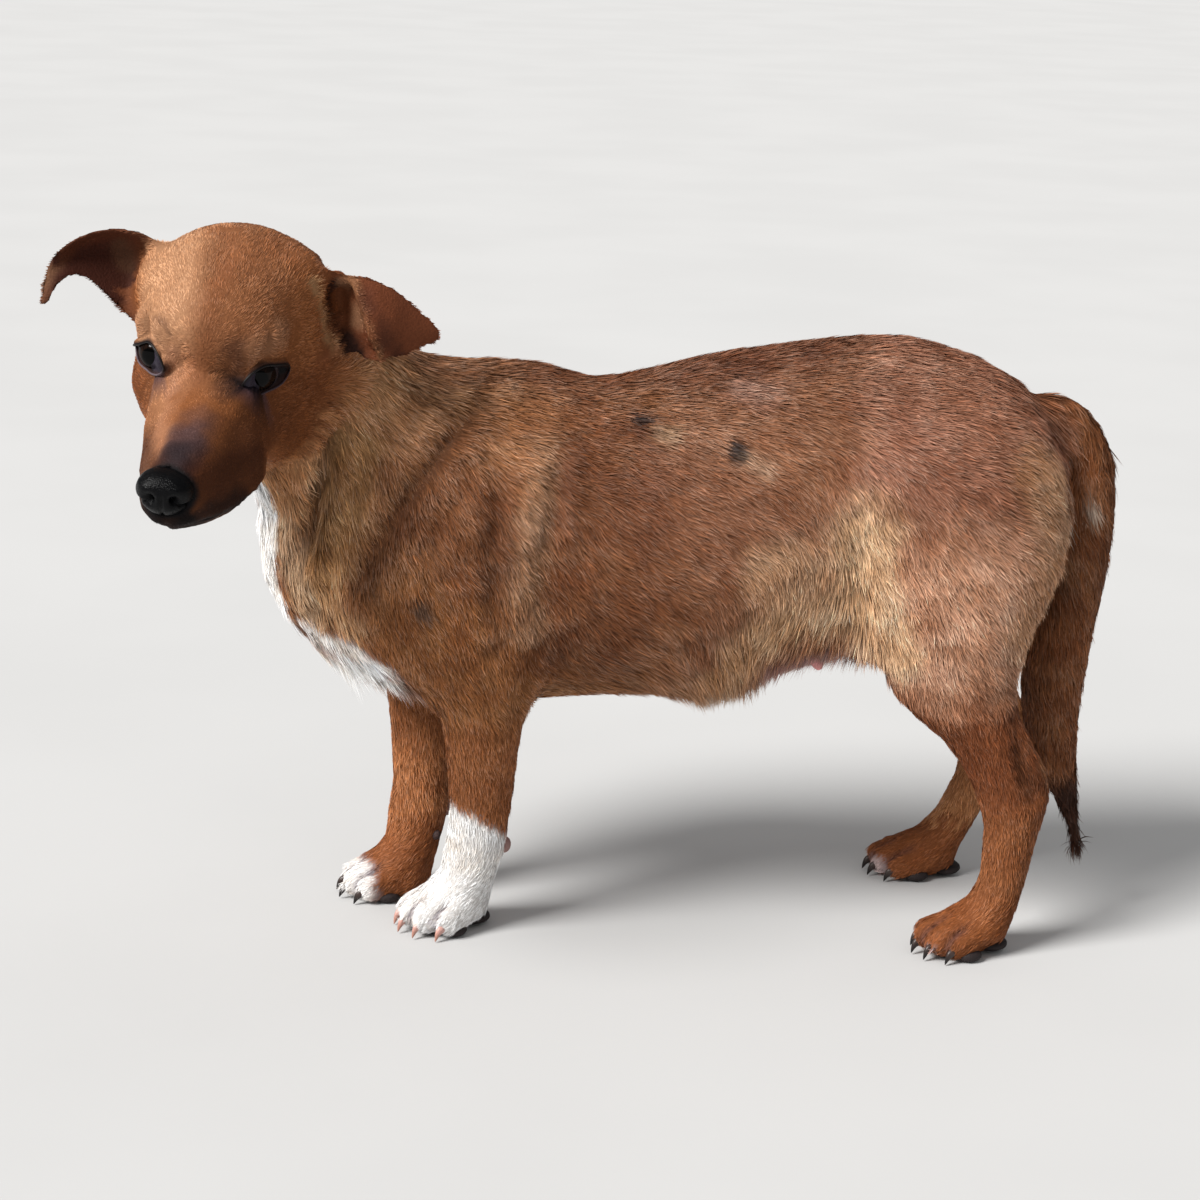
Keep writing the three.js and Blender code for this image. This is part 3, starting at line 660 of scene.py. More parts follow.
def eye_finish() -> Finish:
    """Eye: black pupil, dark brown fibrous iris, darker edge and a dim white, under a clear wet coat.

    Returns:
        The finish.
    """
    finish = Finish("wet_eye", Roughness=0.5, Coat_Weight=0.2, Coat_Roughness=0.03, Specular_IOR_Level=0.0)
    angle = finish.attribute("polar", 2)
    fibre = finish.grain(1.0, 4.0, finish.attribute("fibre", 1))
    iris = finish.mix(fibre.between(0.35, 0.7), rgba((13, 8, 6)), rgba((34, 20, 14)))
    iris = finish.mix(angle.between(0.5, 0.8), iris, rgba((14, 9, 8)))
    pupil = finish.mix(angle.between(0.36, 0.46), rgba((2, 2, 2)), iris)
    edge = finish.mix(angle.between(0.74, 0.86), pupil, rgba((12, 8, 8)))
    corner = finish.attribute("corner", 2).between(0.45, 0.8)
    white = finish.mix(corner, rgba((44, 37, 39)), rgba((40, 30, 32)))
    finish.wear(Base_Color=finish.mix(angle.between(0.92, 1.02), edge, white))
    return finish


def rim_finish() -> Finish:
    """Lid rim: moist skin, nearly black above and greyer below.

    Returns:
        The finish.
    """
    finish = Finish("lid_rim", Roughness=0.42, Specular_IOR_Level=0.22)
    finish.tint(finish.grain(700.0).between(0.4, 0.7) * 0.35, (0.5, 0.45, 0.45))
    finish.bump(finish.grain(2500.0), 0.0001)
    return finish


def pad_finish() -> Finish:
    """Foot pads and teats: bare leathery skin with a fine pebble.

    Returns:
        The finish.
    """
    finish = Finish("bare_leather", Roughness=0.66, Specular_IOR_Level=0.25)
    cells = finish.cells(1400.0, "F1")
    finish.tint(cells.between(0.2, 0.8) * 0.4, (0.6, 0.5, 0.5))
    finish.bump(cells, 0.0002)
    return finish


def claw_finish(name: str, root: Triple, tip: Triple) -> Finish:
    """Claw horn: one tone at the root and one at the tip, with streaks along it.

    Args:
        name: The finish's name.
        root: Red, green and blue at the root, 0 to 255.
        tip: The same at the tip.

    Returns:
        The finish.
    """
    finish = Finish(name, Roughness=0.38, Specular_IOR_Level=0.4)
    streak = finish.grain(1400.0, 3.0)
    base = finish.mix(finish.attribute("along", 2).between(0.2, 0.9), rgba(root), rgba(tip))
    finish.wear(Base_Color=finish.mix(streak.between(0.45, 0.7) * 0.3, base, rgba((20, 16, 14))))
    finish.bump(streak, 0.00008)
    return finish


# ---- coat table ----------------------------------------------------------------------------------
@dataclass(frozen=True)
class Fur:
    """How hair grows on one part of the body.

    Args:
        lie: the way it points, on body axes, or on head axes for the head and ears.
        length: of a hair.
        width: of a tuft at its root.
        depth: how far the coat's surface stands off the skin.
        density: tufts per square millimetre.
        colour: display values 0 to 255.
    """

    lie: Triple
    length: float
    width: float
    depth: float
    density: float
    colour: Triple


COAT = {
    "head": Fur((-1.0, 0.0, -0.05), 5.4, 0.42, 0.9, 2.0, (176, 103, 54)),
    "ear_left": Fur((-0.25, 1.0, -0.25), 2.2, 0.38, 0.4, 2.8, (150, 80, 46)),
    "ear_right": Fur((0.15, -1.0, -0.25), 2.2, 0.38, 0.4, 2.8, (120, 62, 40)),
    "neck": Fur((0.40, 0.0, -0.92), 12.5, 0.6, 4.0, 1.5, (226, 160, 104)),
    "chest": Fur((0.62, 0.0, -0.80), 11.5, 0.6, 3.4, 1.4, (172, 110, 66)),
    "belly": Fur((0.85, 0.0, -0.55), 11.5, 0.6, 3.4, 1.4, (154, 98, 64)),
    "rump": Fur((0.80, 0.0, -0.60), 11.0, 0.6, 3.4, 1.4, (152, 95, 67)),
    "upper_arm": Fur((0.35, 0.0, -0.94), 10.5, 0.6, 2.8, 1.3, (172, 106, 58)),
    "forearm": Fur((0.12, 0.0, -0.99), 7.5, 0.5, 2.0, 1.4, (180, 108, 60)),
    "forepaw": Fur((-0.75, 0.0, -0.65), 5.5, 0.45, 1.2, 1.7, (172, 98, 52)),
    "thigh": Fur((0.45, 0.0, -0.90), 11.0, 0.6, 3.0, 1.3, (204, 144, 106)),
    "shank": Fur((0.30, 0.0, -0.95), 8.0, 0.55, 2.2, 1.3, (142, 78, 42)),
    "hind_pastern": Fur((-0.05, 0.0, -1.0), 6.5, 0.5, 1.7, 1.5, (160, 94, 52)),
    "hindpaw": Fur((-0.80, 0.0, -0.60), 5.5, 0.45, 1.2, 1.7, (170, 96, 50)),
    "tail": Fur((0.25, 0.0, -0.97), 15.0, 0.6, 4.0, 1.6, (150, 88, 48)),
}
FORELEG = ("upper_arm", "forearm", "forepaw")
HINDLEG = ("thigh", "shank", "hind_pastern", "hindpaw")


def both_sides(*parts: str) -> tuple[str, ...]:
    """Each part's left and right node."""
    return tuple(f"{part}_{side.word}" for part in parts for side in Side)


SKIN_NODES = ["head", *both_sides("ear"), "neck", "chest", "belly", "rump", "tail", *both_sides(*FORELEG, *HINDLEG)]


def numbers_of(nodes: tuple[str, ...]) -> list[int]:
    """The nodes' places in SKIN_NODES."""
    return [SKIN_NODES.index(node) for node in nodes]


def claw_nodes(place: str) -> list[str]:
    """The four claw nodes of a foot such as fore_left."""
    return [f"claw_{place}_{i}" for i in range(1, 5)]


def fur_of(node: str) -> Fur:
    """The table's entry for a node."""
    return COAT[node] if node in COAT else COAT[node.rsplit("_", 1)[0]]


@dataclass(frozen=True)
class Stroke:
    """A marking, or painted light or shade: a soft-edged stroke of colour along a line.

    Args:
        line: its corners, on body axes, or on head axes where head is true.
        radius: its half width.
        colour: display values 0 to 255.
        strength: how much of the colour under it is covered.
        soft: how wide its edge is.
        head: whether the line is on head axes.
        both: whether it is mirrored to the other side.
        parts: the nodes it is on, or every node.
    """

    line: tuple[Triple, ...]
    radius: float
    colour: Triple
    strength: float = 1.0
    soft: float = 8.0
    head: bool = False
    both: bool = False
    parts: tuple[str, ...] = ()


WHITE = (252, 249, 246)
CREAM = (232, 190, 146)
DARK_BACK = (118, 66, 38)
# Body markings, and strokes of painted light and shade on lit ridges and in shaded creases, on body axes.
BODY_MARKINGS_AND_PAINTED_LIGHT = (
    Stroke(((-92, 0, 318), (-20, 0, 322), (90, 0, 336)), 24, (112, 62, 38), 0.8, 32),
    Stroke(((-108, -52, 276), (-76, -66, 232)), 18, DARK_BACK, 0.55, 26, both=True),
    Stroke(((-8, -60, 282), (-12, -72, 226), (-14, -70, 180)), 20, DARK_BACK, 0.78, 30, both=True),
    Stroke(((26, -66, 250), (60, -70, 236)), 16, (132, 78, 50), 0.5, 30, both=True),
    # Painted highlight: the lit crest of the ridge behind the shoulder.
    Stroke(
        ((-44, -55, 276), (-46, -66, 249), (-50, -69, 205), (-46, -66, 184)),
        2, (196, 146, 106), 0.5, 13, both=True,
    ),
    # Painted shade in the two creases behind the shoulder, on this line and the next.
    Stroke(((-64, -68, 268), (-66, -72, 223), (-65, -70, 176)), 1, (100, 56, 32), 0.55, 13, both=True),
    Stroke(((-33, -56, 275), (-33, -66, 236)), 1.5, (112, 62, 36), 0.5, 9, both=True),
    # Painted shade in the crease at the shoulder's front, and after it in the deep fold between cheek and neck.
    Stroke(
        ((-76, -40, 296), (-100, -64, 263), (-115, -68, 240), (-133, -62, 209)),
        4, (106, 60, 32), 0.6, 9, both=True,
    ),
    Stroke(((-149, -60, 280), (-155, -54, 250), (-157, -46, 224)), 3.5, (88, 46, 22), 0.8, 8, both=True),
    # Painted highlight on the ridge in front of that fold.
    Stroke(((-138, -60, 276), (-146, -54, 226), (-160, -36, 190)), 6, (208, 150, 92), 0.6, 12, both=True),
    Stroke(((-172, -36, 236), (-166, -36, 206), (-160, -34, 184)), 4, CREAM, 0.7, 10, both=True),
    Stroke(((-150, -44, 196), (-138, -52, 182)), 4, (218, 162, 108), 0.6, 9, both=True),
    Stroke(((56, -50, 158), (74, -61, 182), (94, -62, 194), (122, -60, 200)), 3, (224, 172, 120), 0.65, 15, both=True),
    Stroke(((80, -68, 214), (112, -64, 214), (128, -62, 240)), 8, (220, 168, 122), 0.7, 20, both=True),
    Stroke(((-30, -46, 132), (10, -50, 134), (48, -46, 148)), 9, (176, 122, 78), 0.7, 14, both=True),
    Stroke(((60, -28, 136), (96, -30, 150)), 11, (206, 176, 146), 0.8, 14, both=True),
    Stroke(((92, -42, 166), (112, -42, 168), (124, -36, 176)), 7, (178, 132, 122), 0.9, 7, both=True),
    Stroke(((0, 0, 120), (120, 0, 140)), 18, (214, 178, 160), 0.8, 20),
    Stroke(((126, -64, 236), (134, -62, 200), (148, -64, 172)), 7, (228, 176, 126), 0.8, 14, both=True),
    Stroke(((150, -30, 314), (176, -42, 300), (196, -54, 286)), 10, (178, 120, 88), 0.3, 24, both=True),
    Stroke(((216, -50, 262), (226, -50, 226), (218, -52, 186)), 9, (214, 156, 106), 0.65, 20, both=True),
    Stroke(((232, -22, 252), (240, -20, 214), (230, -30, 178)), 8, (206, 160, 116), 0.7, 14, both=True),
    Stroke(((238, -8, 262), (244, -6, 240)), 9, (236, 214, 190), 0.95, 7, parts=("rump",)),
    Stroke(((257, -14, 250), (259, -14, 240)), 3, (232, 206, 176), 0.85, 7, parts=("tail",)),
    # Painted shade in the groove between rump and tail.
    Stroke(((240, -14, 290), (250, -16, 268), (251, -16, 250)), 2.5, (60, 30, 16), 0.8, 7, parts=("tail",)),
    Stroke(((262, 0, 296), (278, 0, 262), (278, 0, 200)), 7, (122, 70, 38), 0.6, 14, parts=("tail",)),
    # Painted shade on the tail's front edge, where it passes behind the buttock.
    Stroke(((238, -12, 200), (230, -12, 150), (236, -10, 110)), 6, (96, 54, 28), 0.5, 12, parts=("tail",)),
    Stroke(((266, 0, 66), (272, 0, 34)), 12, (58, 32, 22), 0.9, 18, parts=("tail",)),
    Stroke(((-188, -20, 262), (-185, -20, 236), (-185, -8, 206), (-176, -2, 184)), 15, WHITE, 1.0, 4),
    Stroke(((-186, 14, 250), (-182, 14, 206), (-168, 12, 178)), 13, WHITE, 1.0, 4),
    Stroke(((-158, -10, 152), (-140, -34, 150), (-120, -42, 138), (-104, -46, 124)), 10, WHITE, 1.0, 4),
    Stroke(((-164, -26, 170), (-146, -44, 162), (-124, -54, 150), (-108, -58, 134)), 7, WHITE, 0.9, 6),
    Stroke(((-160, 12, 160), (-136, 24, 144)), 14, WHITE, 0.95, 6),
    Stroke(((-86, -30, -40), (-83, -30, 42)), 33, WHITE, 1.0, 3, parts=("forearm_left", "forepaw_left")),
    Stroke(((-155, 6, 6), (-134, 12, 10), (-136, 34, 4)), 13, WHITE, 0.97, 5, parts=("forepaw_right",)),
    # Painted light on the far hind leg, against the body's shadow falling on it.
    Stroke(((186, 50, 40), (204, 50, 120)), 60, (226, 150, 92), 0.8, 20, parts=("shank_right", "hind_pastern_right")),
    Stroke(((166, -76, 3), (170, -86, 4)), 8, (240, 210, 200), 0.85, 4, parts=("hindpaw_left",)),
    Stroke(((162, 55, 3), (166, 48, 4)), 9, (240, 210, 200), 0.85, 4, parts=("hindpaw_right",)),
    Stroke(((8, -37, 286), (6, -37, 288)), 2.6, (50, 36, 32), 0.95, 3),
    Stroke(((16, -42, 282), (22, -45, 280)), 1.5, (196, 158, 118), 0.45, 7),
    Stroke(((57, -55, 275), (55, -55, 278)), 3.0, (54, 42, 38), 0.95, 3),
    Stroke(((64, -57, 272), (69, -58, 268)), 2, (186, 146, 110), 0.45, 7),
    Stroke(((62, -34, 303), (70, -36, 301)), 3, (196, 150, 128), 0.5, 12),
    Stroke(((-103, -71, 197), (-101, -71, 192)), 2.2, (96, 78, 66), 0.7, 4),
    # Painted shade in the crease above the hock, then a painted highlight on the ridge beside it.
    Stroke(((218, -66, 118), (224, -68, 100)), 3, (104, 60, 34), 0.7, 6, both=True),
    Stroke(((230, -60, 132), (240, -60, 104)), 3, (206, 144, 92), 0.6, 7, both=True),
)
# Head markings, and strokes of painted light and shade on the lit and shaded sides of the face, on head axes.
HEAD_MARKINGS_AND_PAINTED_LIGHT = (
    # Painted shade in the furrow down the forehead.
    Stroke(((-32, 0, 54), (-6, -1, 36), (14, 0, 16)), 2.5, (128, 70, 36), 0.65, 9),
    # Painted light on the top of the head and on the far forehead.
    Stroke(((2, 2, 22), (-30, 4, 52), (-60, 10, 56)), 22, (182, 114, 70), 0.75, 22),
    Stroke(((4, -24, 20), (-12, -26, 33), (-30, -26, 40)), 12, (232, 168, 118), 0.75, 18),
    # Painted light on the far side of the muzzle and below the far eye.
    Stroke(((30, -22, -12), (60, -18, -18), (84, -12, -26)), 7, (222, 150, 104), 0.75, 12),
    Stroke(((8, -30, -14), (30, -26, -20)), 6, (226, 152, 98), 0.7, 12),
    # Painted shade on the near side of the muzzle.
    Stroke(((74, 16, -22), (44, 22, -18), (20, 26, -18)), 8, (112, 58, 24), 0.65, 10),
    # Painted light over the shadow at the far eye's inner corner.
    Stroke(((12, -12, 10), (16, -11, -2)), 5, (206, 138, 92), 0.5, 8),
    Stroke(((10, -16, 8), (19, -13, -8)), 2, (214, 148, 108), 0.6, 5),
    # Painted highlight on the brow ridges, then painted shade on the cheeks, on both sides.
    Stroke(((4, 22, 13), (-8, 33, 17)), 3.5, (202, 142, 100), 0.5, 8, both=True),
    Stroke(((-8, 40, -18), (-30, 45, -26), (-44, 46, -40)), 12, (130, 66, 26), 0.65, 16, both=True),
    Stroke(((34, 27, -26), (10, 32, -26)), 8, (140, 78, 42), 0.5, 12, both=True),
    Stroke(((72, 2, -10), (48, 3, -6)), 4, (116, 76, 62), 0.6, 11),
    # Painted shade along the furrow down to the stop.
    Stroke(((-18, 6, 48), (3, 3, 36), (14, 0, 22), (18, -2, 2)), 1.5, (160, 92, 50), 0.45, 6),
    Stroke(((13, 13, 14), (11, 16, 6), (13, 15, -3)), 2.0, (104, 62, 44), 0.55, 7),
    Stroke(((13, 15, -3), (22, 13, -6)), 3, (70, 46, 40), 0.65, 7),
    Stroke(((2, -26, 22), (7, -21, 22), (10, -17, 18)), 0.3, (104, 62, 42), 0.55, 2.5),
    # Painted shade on the near cheek beside the muzzle, and in the crease under the near eye.
    Stroke(((22, 30, -24), (-4, 31, -27), (-20, 32, -44)), 6, (122, 64, 28), 0.6, 10),
    Stroke(((-16, 39, -20), (-8, 33, -29)), 1.2, (84, 44, 24), 0.6, 4),
    Stroke(((92, 0, -14), (62, 2, -9)), 5, (92, 68, 68), 0.75, 12),
    Stroke(((96, -1, -14), (80, 0, -12)), 6, (48, 36, 39), 0.85, 13),
    # Painted shade on the sides of the muzzle, on both sides.
    Stroke(((80, 17, -28), (56, 26, -32), (40, 29, -36)), 9, (84, 38, 14), 0.75, 12, both=True),
    Stroke(((90, 13, -44), (74, 22, -44), (60, 26, -44)), 5, (50, 24, 14), 0.85, 8, both=True),
    Stroke(((70, 0, -58), (92, 0, -50)), 12, (22, 15, 15), 0.92, 8),
    Stroke(((50, 0, -58), (10, 0, -60)), 16, (150, 102, 70), 0.6, 14),
    Stroke(((13, 17, -6), (20, 15, -12)), 3.0, (46, 30, 27), 0.9, 7),
    Stroke(((-37, 43, 36), (-42, 50, 12), (-41, 57, -2)), 0.8, (218, 162, 108), 0.75, 4),
    # Painted shade in the hollow in front of the left ear's fold.
    Stroke(((-50, 52, 30), (-48, 56, 14), (-46, 64, 0), (-48, 70, -10)), 3.2, (50, 24, 16), 0.95, 4),
    Stroke(((-50, 58, 30), (-47, 64, 14)), 3.6, (196, 136, 94), 0.85, 5, parts=("ear_left",)),
    # Painted highlight along the left ear's fold.
    Stroke(
        ((-50, 60, 37), (-46, 65.5, 27), (-40, 73, 14), (-42, 78.5, -2)),
        1.4, (176, 116, 74), 0.9, 3, parts=("ear_left",),
    ),
    Stroke(((-46, 70, 26), (-44, 80, 8), (-52, 86, -6)), 2.5, (84, 42, 26), 0.7, 6, parts=("ear_left",)),
    Stroke(((-44, -58, 24), (-38, -74, 26)), 12, (84, 40, 26), 0.9, 9, parts=("ear_right",)),
    Stroke(((-52, -54, 36), (-56, -52, 28)), 3, (132, 88, 60), 0.7, 5, parts=("ear_right",)),
    Stroke(((-46, -44, 46), (-48, -66, 46), (-42, -84, 36)), 3, (128, 72, 44), 0.7, 6, parts=("ear_right",)),
    Stroke(((-38, -92, 22), (-34, -98, 4)), 7, (164, 112, 76), 0.8, 6, parts=("ear_right",)),
)
MARKINGS_AND_PAINTED_LIGHT = BODY_MARKINGS_AND_PAINTED_LIGHT + tuple(replace(stroke, head=True) for stroke in HEAD_MARKINGS_AND_PAINTED_LIGHT)


@dataclass(frozen=True)
class Comb:
    """A place on the left of the trunk and the way the hair runs there, mirrored to the right.

    Args:
        at: the place, on body axes.
        way: the direction back (x) and up (z).
    """

    at: Triple
    way: tuple[float, float]


COMBS = (
    Comb((-160, 55, 270), (0.30, -0.95)),
    Comb((-176, 30, 222), (0.12, -0.99)),
    Comb((-124, 40, 298), (0.66, -0.75)),
    Comb((-104, 62, 250), (0.45, -0.89)),
    Comb((-80, 40, 302), (0.86, -0.50)),
    Comb((-40, 50, 290), (0.90, -0.44)),
    Comb((-45, 67, 230), (0.58, -0.81)),
    Comb((-62, 70, 180), (0.38, -0.92)),
    Comb((-134, 60, 190), (0.30, -0.95)),
    Comb((0, 60, 282), (0.90, -0.42)),
    Comb((0, 70, 212), (0.80, -0.60)),
    Comb((0, 45, 140), (0.90, -0.44)),
    Comb((60, 60, 282), (0.92, -0.38)),
    Comb((60, 70, 222), (0.82, -0.57)),
    Comb((62, 50, 160), (0.20, -0.98)),
    Comb((100, 58, 190), (-0.25, -0.97)),
    Comb((112, 40, 165), (-0.50, -0.86)),
    Comb((126, 62, 230), (0.40, -0.92)),
    Comb((150, 40, 312), (0.94, -0.34)),
    Comb((190, 50, 282), (0.93, -0.36)),
    Comb((204, 55, 240), (0.84, -0.54)),
    Comb((170, 62, 222), (0.60, -0.80)),
    Comb((150, 60, 182), (0.32, -0.95)),
    Comb((212, 60, 190), (0.55, -0.83)),
    Comb((236, 40, 232), (0.70, -0.71)),
    Comb((240, 20, 272), (0.88, -0.47)),
)
COMBED = ("neck", "chest", "belly", "rump", *both_sides("upper_arm", "thigh"))


# ---- skin ----------------------------------------------------------------------------------------
@dataclass(frozen=True)
class Fold:
    """A crease in the skin along a line, with a low swelling beside it.

    Args:
        line: its corners, on body or head axes.
        depth: how deep it is; a negative depth makes a ridge.
        width: its half width.
        head: whether the line is on head axes.
        both: whether it is mirrored to the other side.
    """

    line: tuple[Triple, ...]
    depth: float
    width: float
    head: bool = False
    both: bool = True


BODY_FOLDS = (
    Fold(((-62, -60, 288), (-66, -72, 223), (-65, -70, 170)), 2.0, 6.0),
    Fold(((-44, -55, 282), (-46, -66, 249), (-50, -69, 205), (-46, -66, 176)), -1.7, 5.5),
    Fold(((-32, -54, 280), (-33, -66, 230)), 1.2, 4.5),
    Fold(((-72, -38, 300), (-100, -64, 263), (-115, -68, 240), (-135, -60, 204)), 4.0, 6.5),
    Fold(((-147, -62, 284), (-155, -54, 250), (-158, -44, 218)), 4.5, 5.0),
    Fold(((-157, -40, 196), (-155, -38, 180)), 2.5, 3.5),
    Fold(((-140, -58, 278), (-146, -54, 226), (-158, -38, 192)), -1.8, 6.0),
    Fold(((-44, -60, 170), (-48, -56, 140), (-50, -52, 116)), 2.6, 4.5),
    Fold(((124, -64, 244), (128, -64, 206), (136, -58, 170)), 2.6, 6.0),
    Fold(((214, -62, 132), (219, -68, 112), (226, -66, 92)), 3.2, 5.0),
    Fold(((232, -58, 138), (242, -58, 104)), -1.6, 4.5),
)
HEAD_FOLDS = (
    Fold(((10, 0, 8), (-12, 0, 38), (-38, 0, 56)), 2.4, 5.0, both=False),
    Fold(((6, 9, 12), (0, 12, 28)), 0.7, 2.2),
    Fold(((5, 10, 10), (0, 21, 16), (-12, 34, 16)), -2.6, 5.5),
    Fold(((-4, -16, 22), (-12, -28, 24)), 0.5, 1.5, both=False),
    Fold(((-1, -15, 19), (-8, -27, 21)), -0.5, 1.4, both=False),
    Fold(((8, -16, -10), (14, -24, -16), (20, -26, -24)), -3.2, 8.0, both=False),
    Fold(((0, 34, -16), (-16, 40, -20), (-34, 46, -24)), -1.5, 7.0),
    Fold(((26, 25, -17), (56, 20, -19)), 1.0, 5.0),
    Fold(((30, 8, -3), (78, 7, -14)), -0.7, 4.0),
)
FOLDS = BODY_FOLDS + tuple(replace(fold, head=True) for fold in HEAD_FOLDS)
LIPS = (
    (92.0, -2.0, -46.5), (88, 8, -46), (80, 15.5, -45), (68, 21.5, -44), (54, 27, -43.5),
    (42, 30.5, -44), (30, 31.5, -45), (22, 31, -45.5),
)
KEEL = ((-162.0, -12.0, 156.0), (-136.0, -30.0, 146.0), (-106.0, -40.0, 126.0))
EAR_RIDGE = ((62.0, 34.0), (79.5, -1.5))


@dataclass
class Opening:
    """The opening between the lids, measured by angles round the ball's middle.

    The angle round runs from the middle of the opening to its corners, negative towards the nose, and the angle up
    is above the line between the corners. BED is how far the tissue lies inside the ball behind it, and THIRD_LID how
    far the third eyelid stands off the ball.

    Args:
        centre: the middle of the ball, head axes.
        inner: the corner by the nose, head axes.
        outer: the other corner, head axes.
        radius: of the ball.
        upper: half height above the corners' line, degrees.
        lower: half height below it, degrees.
        lid: how far the lids stand off the ball.
        skew: how far the upper lid's arch is drawn towards the nose.
        smudge: how much wider the dark skin round the lids is by the nose, millimetres.
        droop: how far the lower lid's arch is drawn towards the nose.
    """

    centre: Triple
    inner: Triple
    outer: Triple
    radius: float = 10.5
    upper: float = 50.0
    lower: float = 37.0
    lid: float = 1.0
    skew: float = 0.2
    smudge: float = 3.6
    droop: float = 0.1
    BED = 2.5
    THIRD_LID = 0.7

    def __post_init__(self) -> None:
        """Works out the opening's axes, half width and reach of the corners."""
        inner, outer = (np.array(p) - np.array(self.centre) for p in (self.inner, self.outer))
        a = unit(unit(inner) + unit(outer))
        c = unit(unit(outer) - unit(inner))
        v = np.cross(a, c)
        self.axes = np.array([c, v if v[2] > 0 else -v, a])
        self.half = math.degrees(math.acos(unit(inner) @ a))
        self.reach = (np.linalg.norm(inner), np.linalg.norm(outer))

    def angles(self, q: Array) -> tuple[Array, Array, Array]:
        """The angle round, the angle up and the distance of points on head axes, in degrees and millimetres.

        Args:
            q: Points on head axes.

        Returns:
            Three arrays with one number per point.
        """
        out = (q - np.array(self.centre)) @ self.axes.T
        away = np.maximum(np.linalg.norm(out, axis=1), 1e-6)
        return np.degrees(np.arctan2(out[:, 0], out[:, 2])), np.degrees(np.arcsin(out[:, 1] / away)), away

    def bound(self, turn: Array, rise: Array) -> Array:
        """The outline's angle above or below the corners' line.

        It is the half height times (1 - t^2)^n, where t runs from -1 to 1 between the corners and is then shifted
        so that the top of the arch is drawn towards the nose; n is 0.52 above, which is fuller, and 0.65 below.

        Args:
            turn: Degrees round from the way the opening faces.
            rise: Degrees up.

        Returns:
            Degrees, never negative.
        """
        t = turn / self.half
        t = t + np.where(rise > 0, self.skew, self.droop) * (1 - t**2)
        arch = np.clip(1 - t**2, 0, 1) ** np.where(rise > 0, 0.52, 0.65)
        return np.where(rise > 0, self.upper, self.lower) * arch

    def inside(self, turn: Array, rise: Array) -> Array:
        """How far inside the outline a direction is, in millimetres on the lids, negative outside it.

        Args:
            turn: Degrees round from the way the opening faces.
            rise: Degrees up.

        Returns:
            One number per direction.
        """
        scale = math.radians(self.radius + self.lid)
        within = self.bound(turn, rise) - np.abs(rise)
        past = np.hypot(np.maximum(np.abs(turn) - self.half, 0), rise)
        return np.where(np.abs(turn) < self.half, within, -past) * scale

    @staticmethod
    def near(turn: Array, away: Array, reach: float = 26, wide: float = 95) -> Array:
        """Whether points are within reach of the ball's middle, millimetres, and of the opening's angles round."""
        return (away < reach) & (np.abs(turn) < wide)

    def shell(self, turn: Array, rise: Array) -> Array:
        """The lids' distance from the ball's middle: close round the ball, further out towards the corners.

        The angle that counts is the one off the upright plane through the ball, so no crease runs up or down from it.

        Args:
            turn: Degrees round from the way the opening faces.
            rise: Degrees up.

        Returns:
            Millimetres.
        """
        turn = np.degrees(np.arcsin(np.sin(np.radians(turn)) * np.cos(np.radians(rise))))
        corner = np.where(turn < 0, 0.88 * self.reach[0], self.reach[1])
        side = np.clip((np.abs(turn) - 6) / (self.half - 6), 0, 1) ** 1.3
        return self.radius + self.lid + side * (corner - self.radius - self.lid)

    def bed(self, turn: Array, rise: Array) -> Array:
        """The distance of the tissue inside the outline: behind the ball, up to the corners, and the third eyelid.

        Args:
            turn: Degrees round from the way the opening faces.
            rise: Degrees up.

        Returns:
            Millimetres.
        """
        deep = self.radius - self.BED
        corner = ease(np.abs(turn) - 7 * (turn > 0), 42, 58)
        third = ease(-turn, 14, 34) * ease(-rise - 0.4 * (turn + 30), -14, 4)
        deep = deep + third * (self.radius + self.THIRD_LID - deep)
        return deep + corner * (self.shell(turn, rise) - 1.2 - deep)

    def point(self, turn: Array, rise: Array, away: Array) -> Array:
        """Head-axes points at given angles and distances.

        Args:
            turn: Degrees round from the way the opening faces.
            rise: Degrees up.
            away: Millimetres from the ball's middle.

        Returns:
            Millimetres on head axes.
        """
        t, r = np.radians(turn), np.radians(rise)
        way = np.stack([np.sin(t) * np.cos(r), np.sin(r), np.cos(t) * np.cos(r)], -1)
        return np.array(self.centre) + (way * np.asarray(away)[..., None]) @ self.axes


OPENINGS = {
    Side.LEFT: Opening(HEAD_MARKS["eye_left"], (13.0, 18.0, -5.5), (-14.0, 38.0, -2.5), droop=0.42),
    Side.RIGHT: Opening(
        HEAD_MARKS["eye_right"], (13.0, -18.5, 0.0), (-13.0, -37.5, 0.5), upper=52.0, lower=28.0, skew=0.48, smudge=0.2
    ),
}


def paw_axes(node: str) -> Axes:
    """A paw's own axes: forward to its claws, to its left and up, from under its middle.

    Args:
        node: The paw's node.

    Returns:
        Axes from the floor under the paw.
    """
    place = node.replace("forepaw", "fore").replace("hindpaw", "hind")
    tips = np.mean([box_middle(claw) for claw in claw_nodes(place)], 0)
    middle = box_middle(node) * [1, 1, 0]
    forward = unit((tips - middle) * [1, 1, 0])
    return Axes(middle, np.array([forward, np.cross([0, 0, 1.0], forward), [0, 0, 1.0]]))


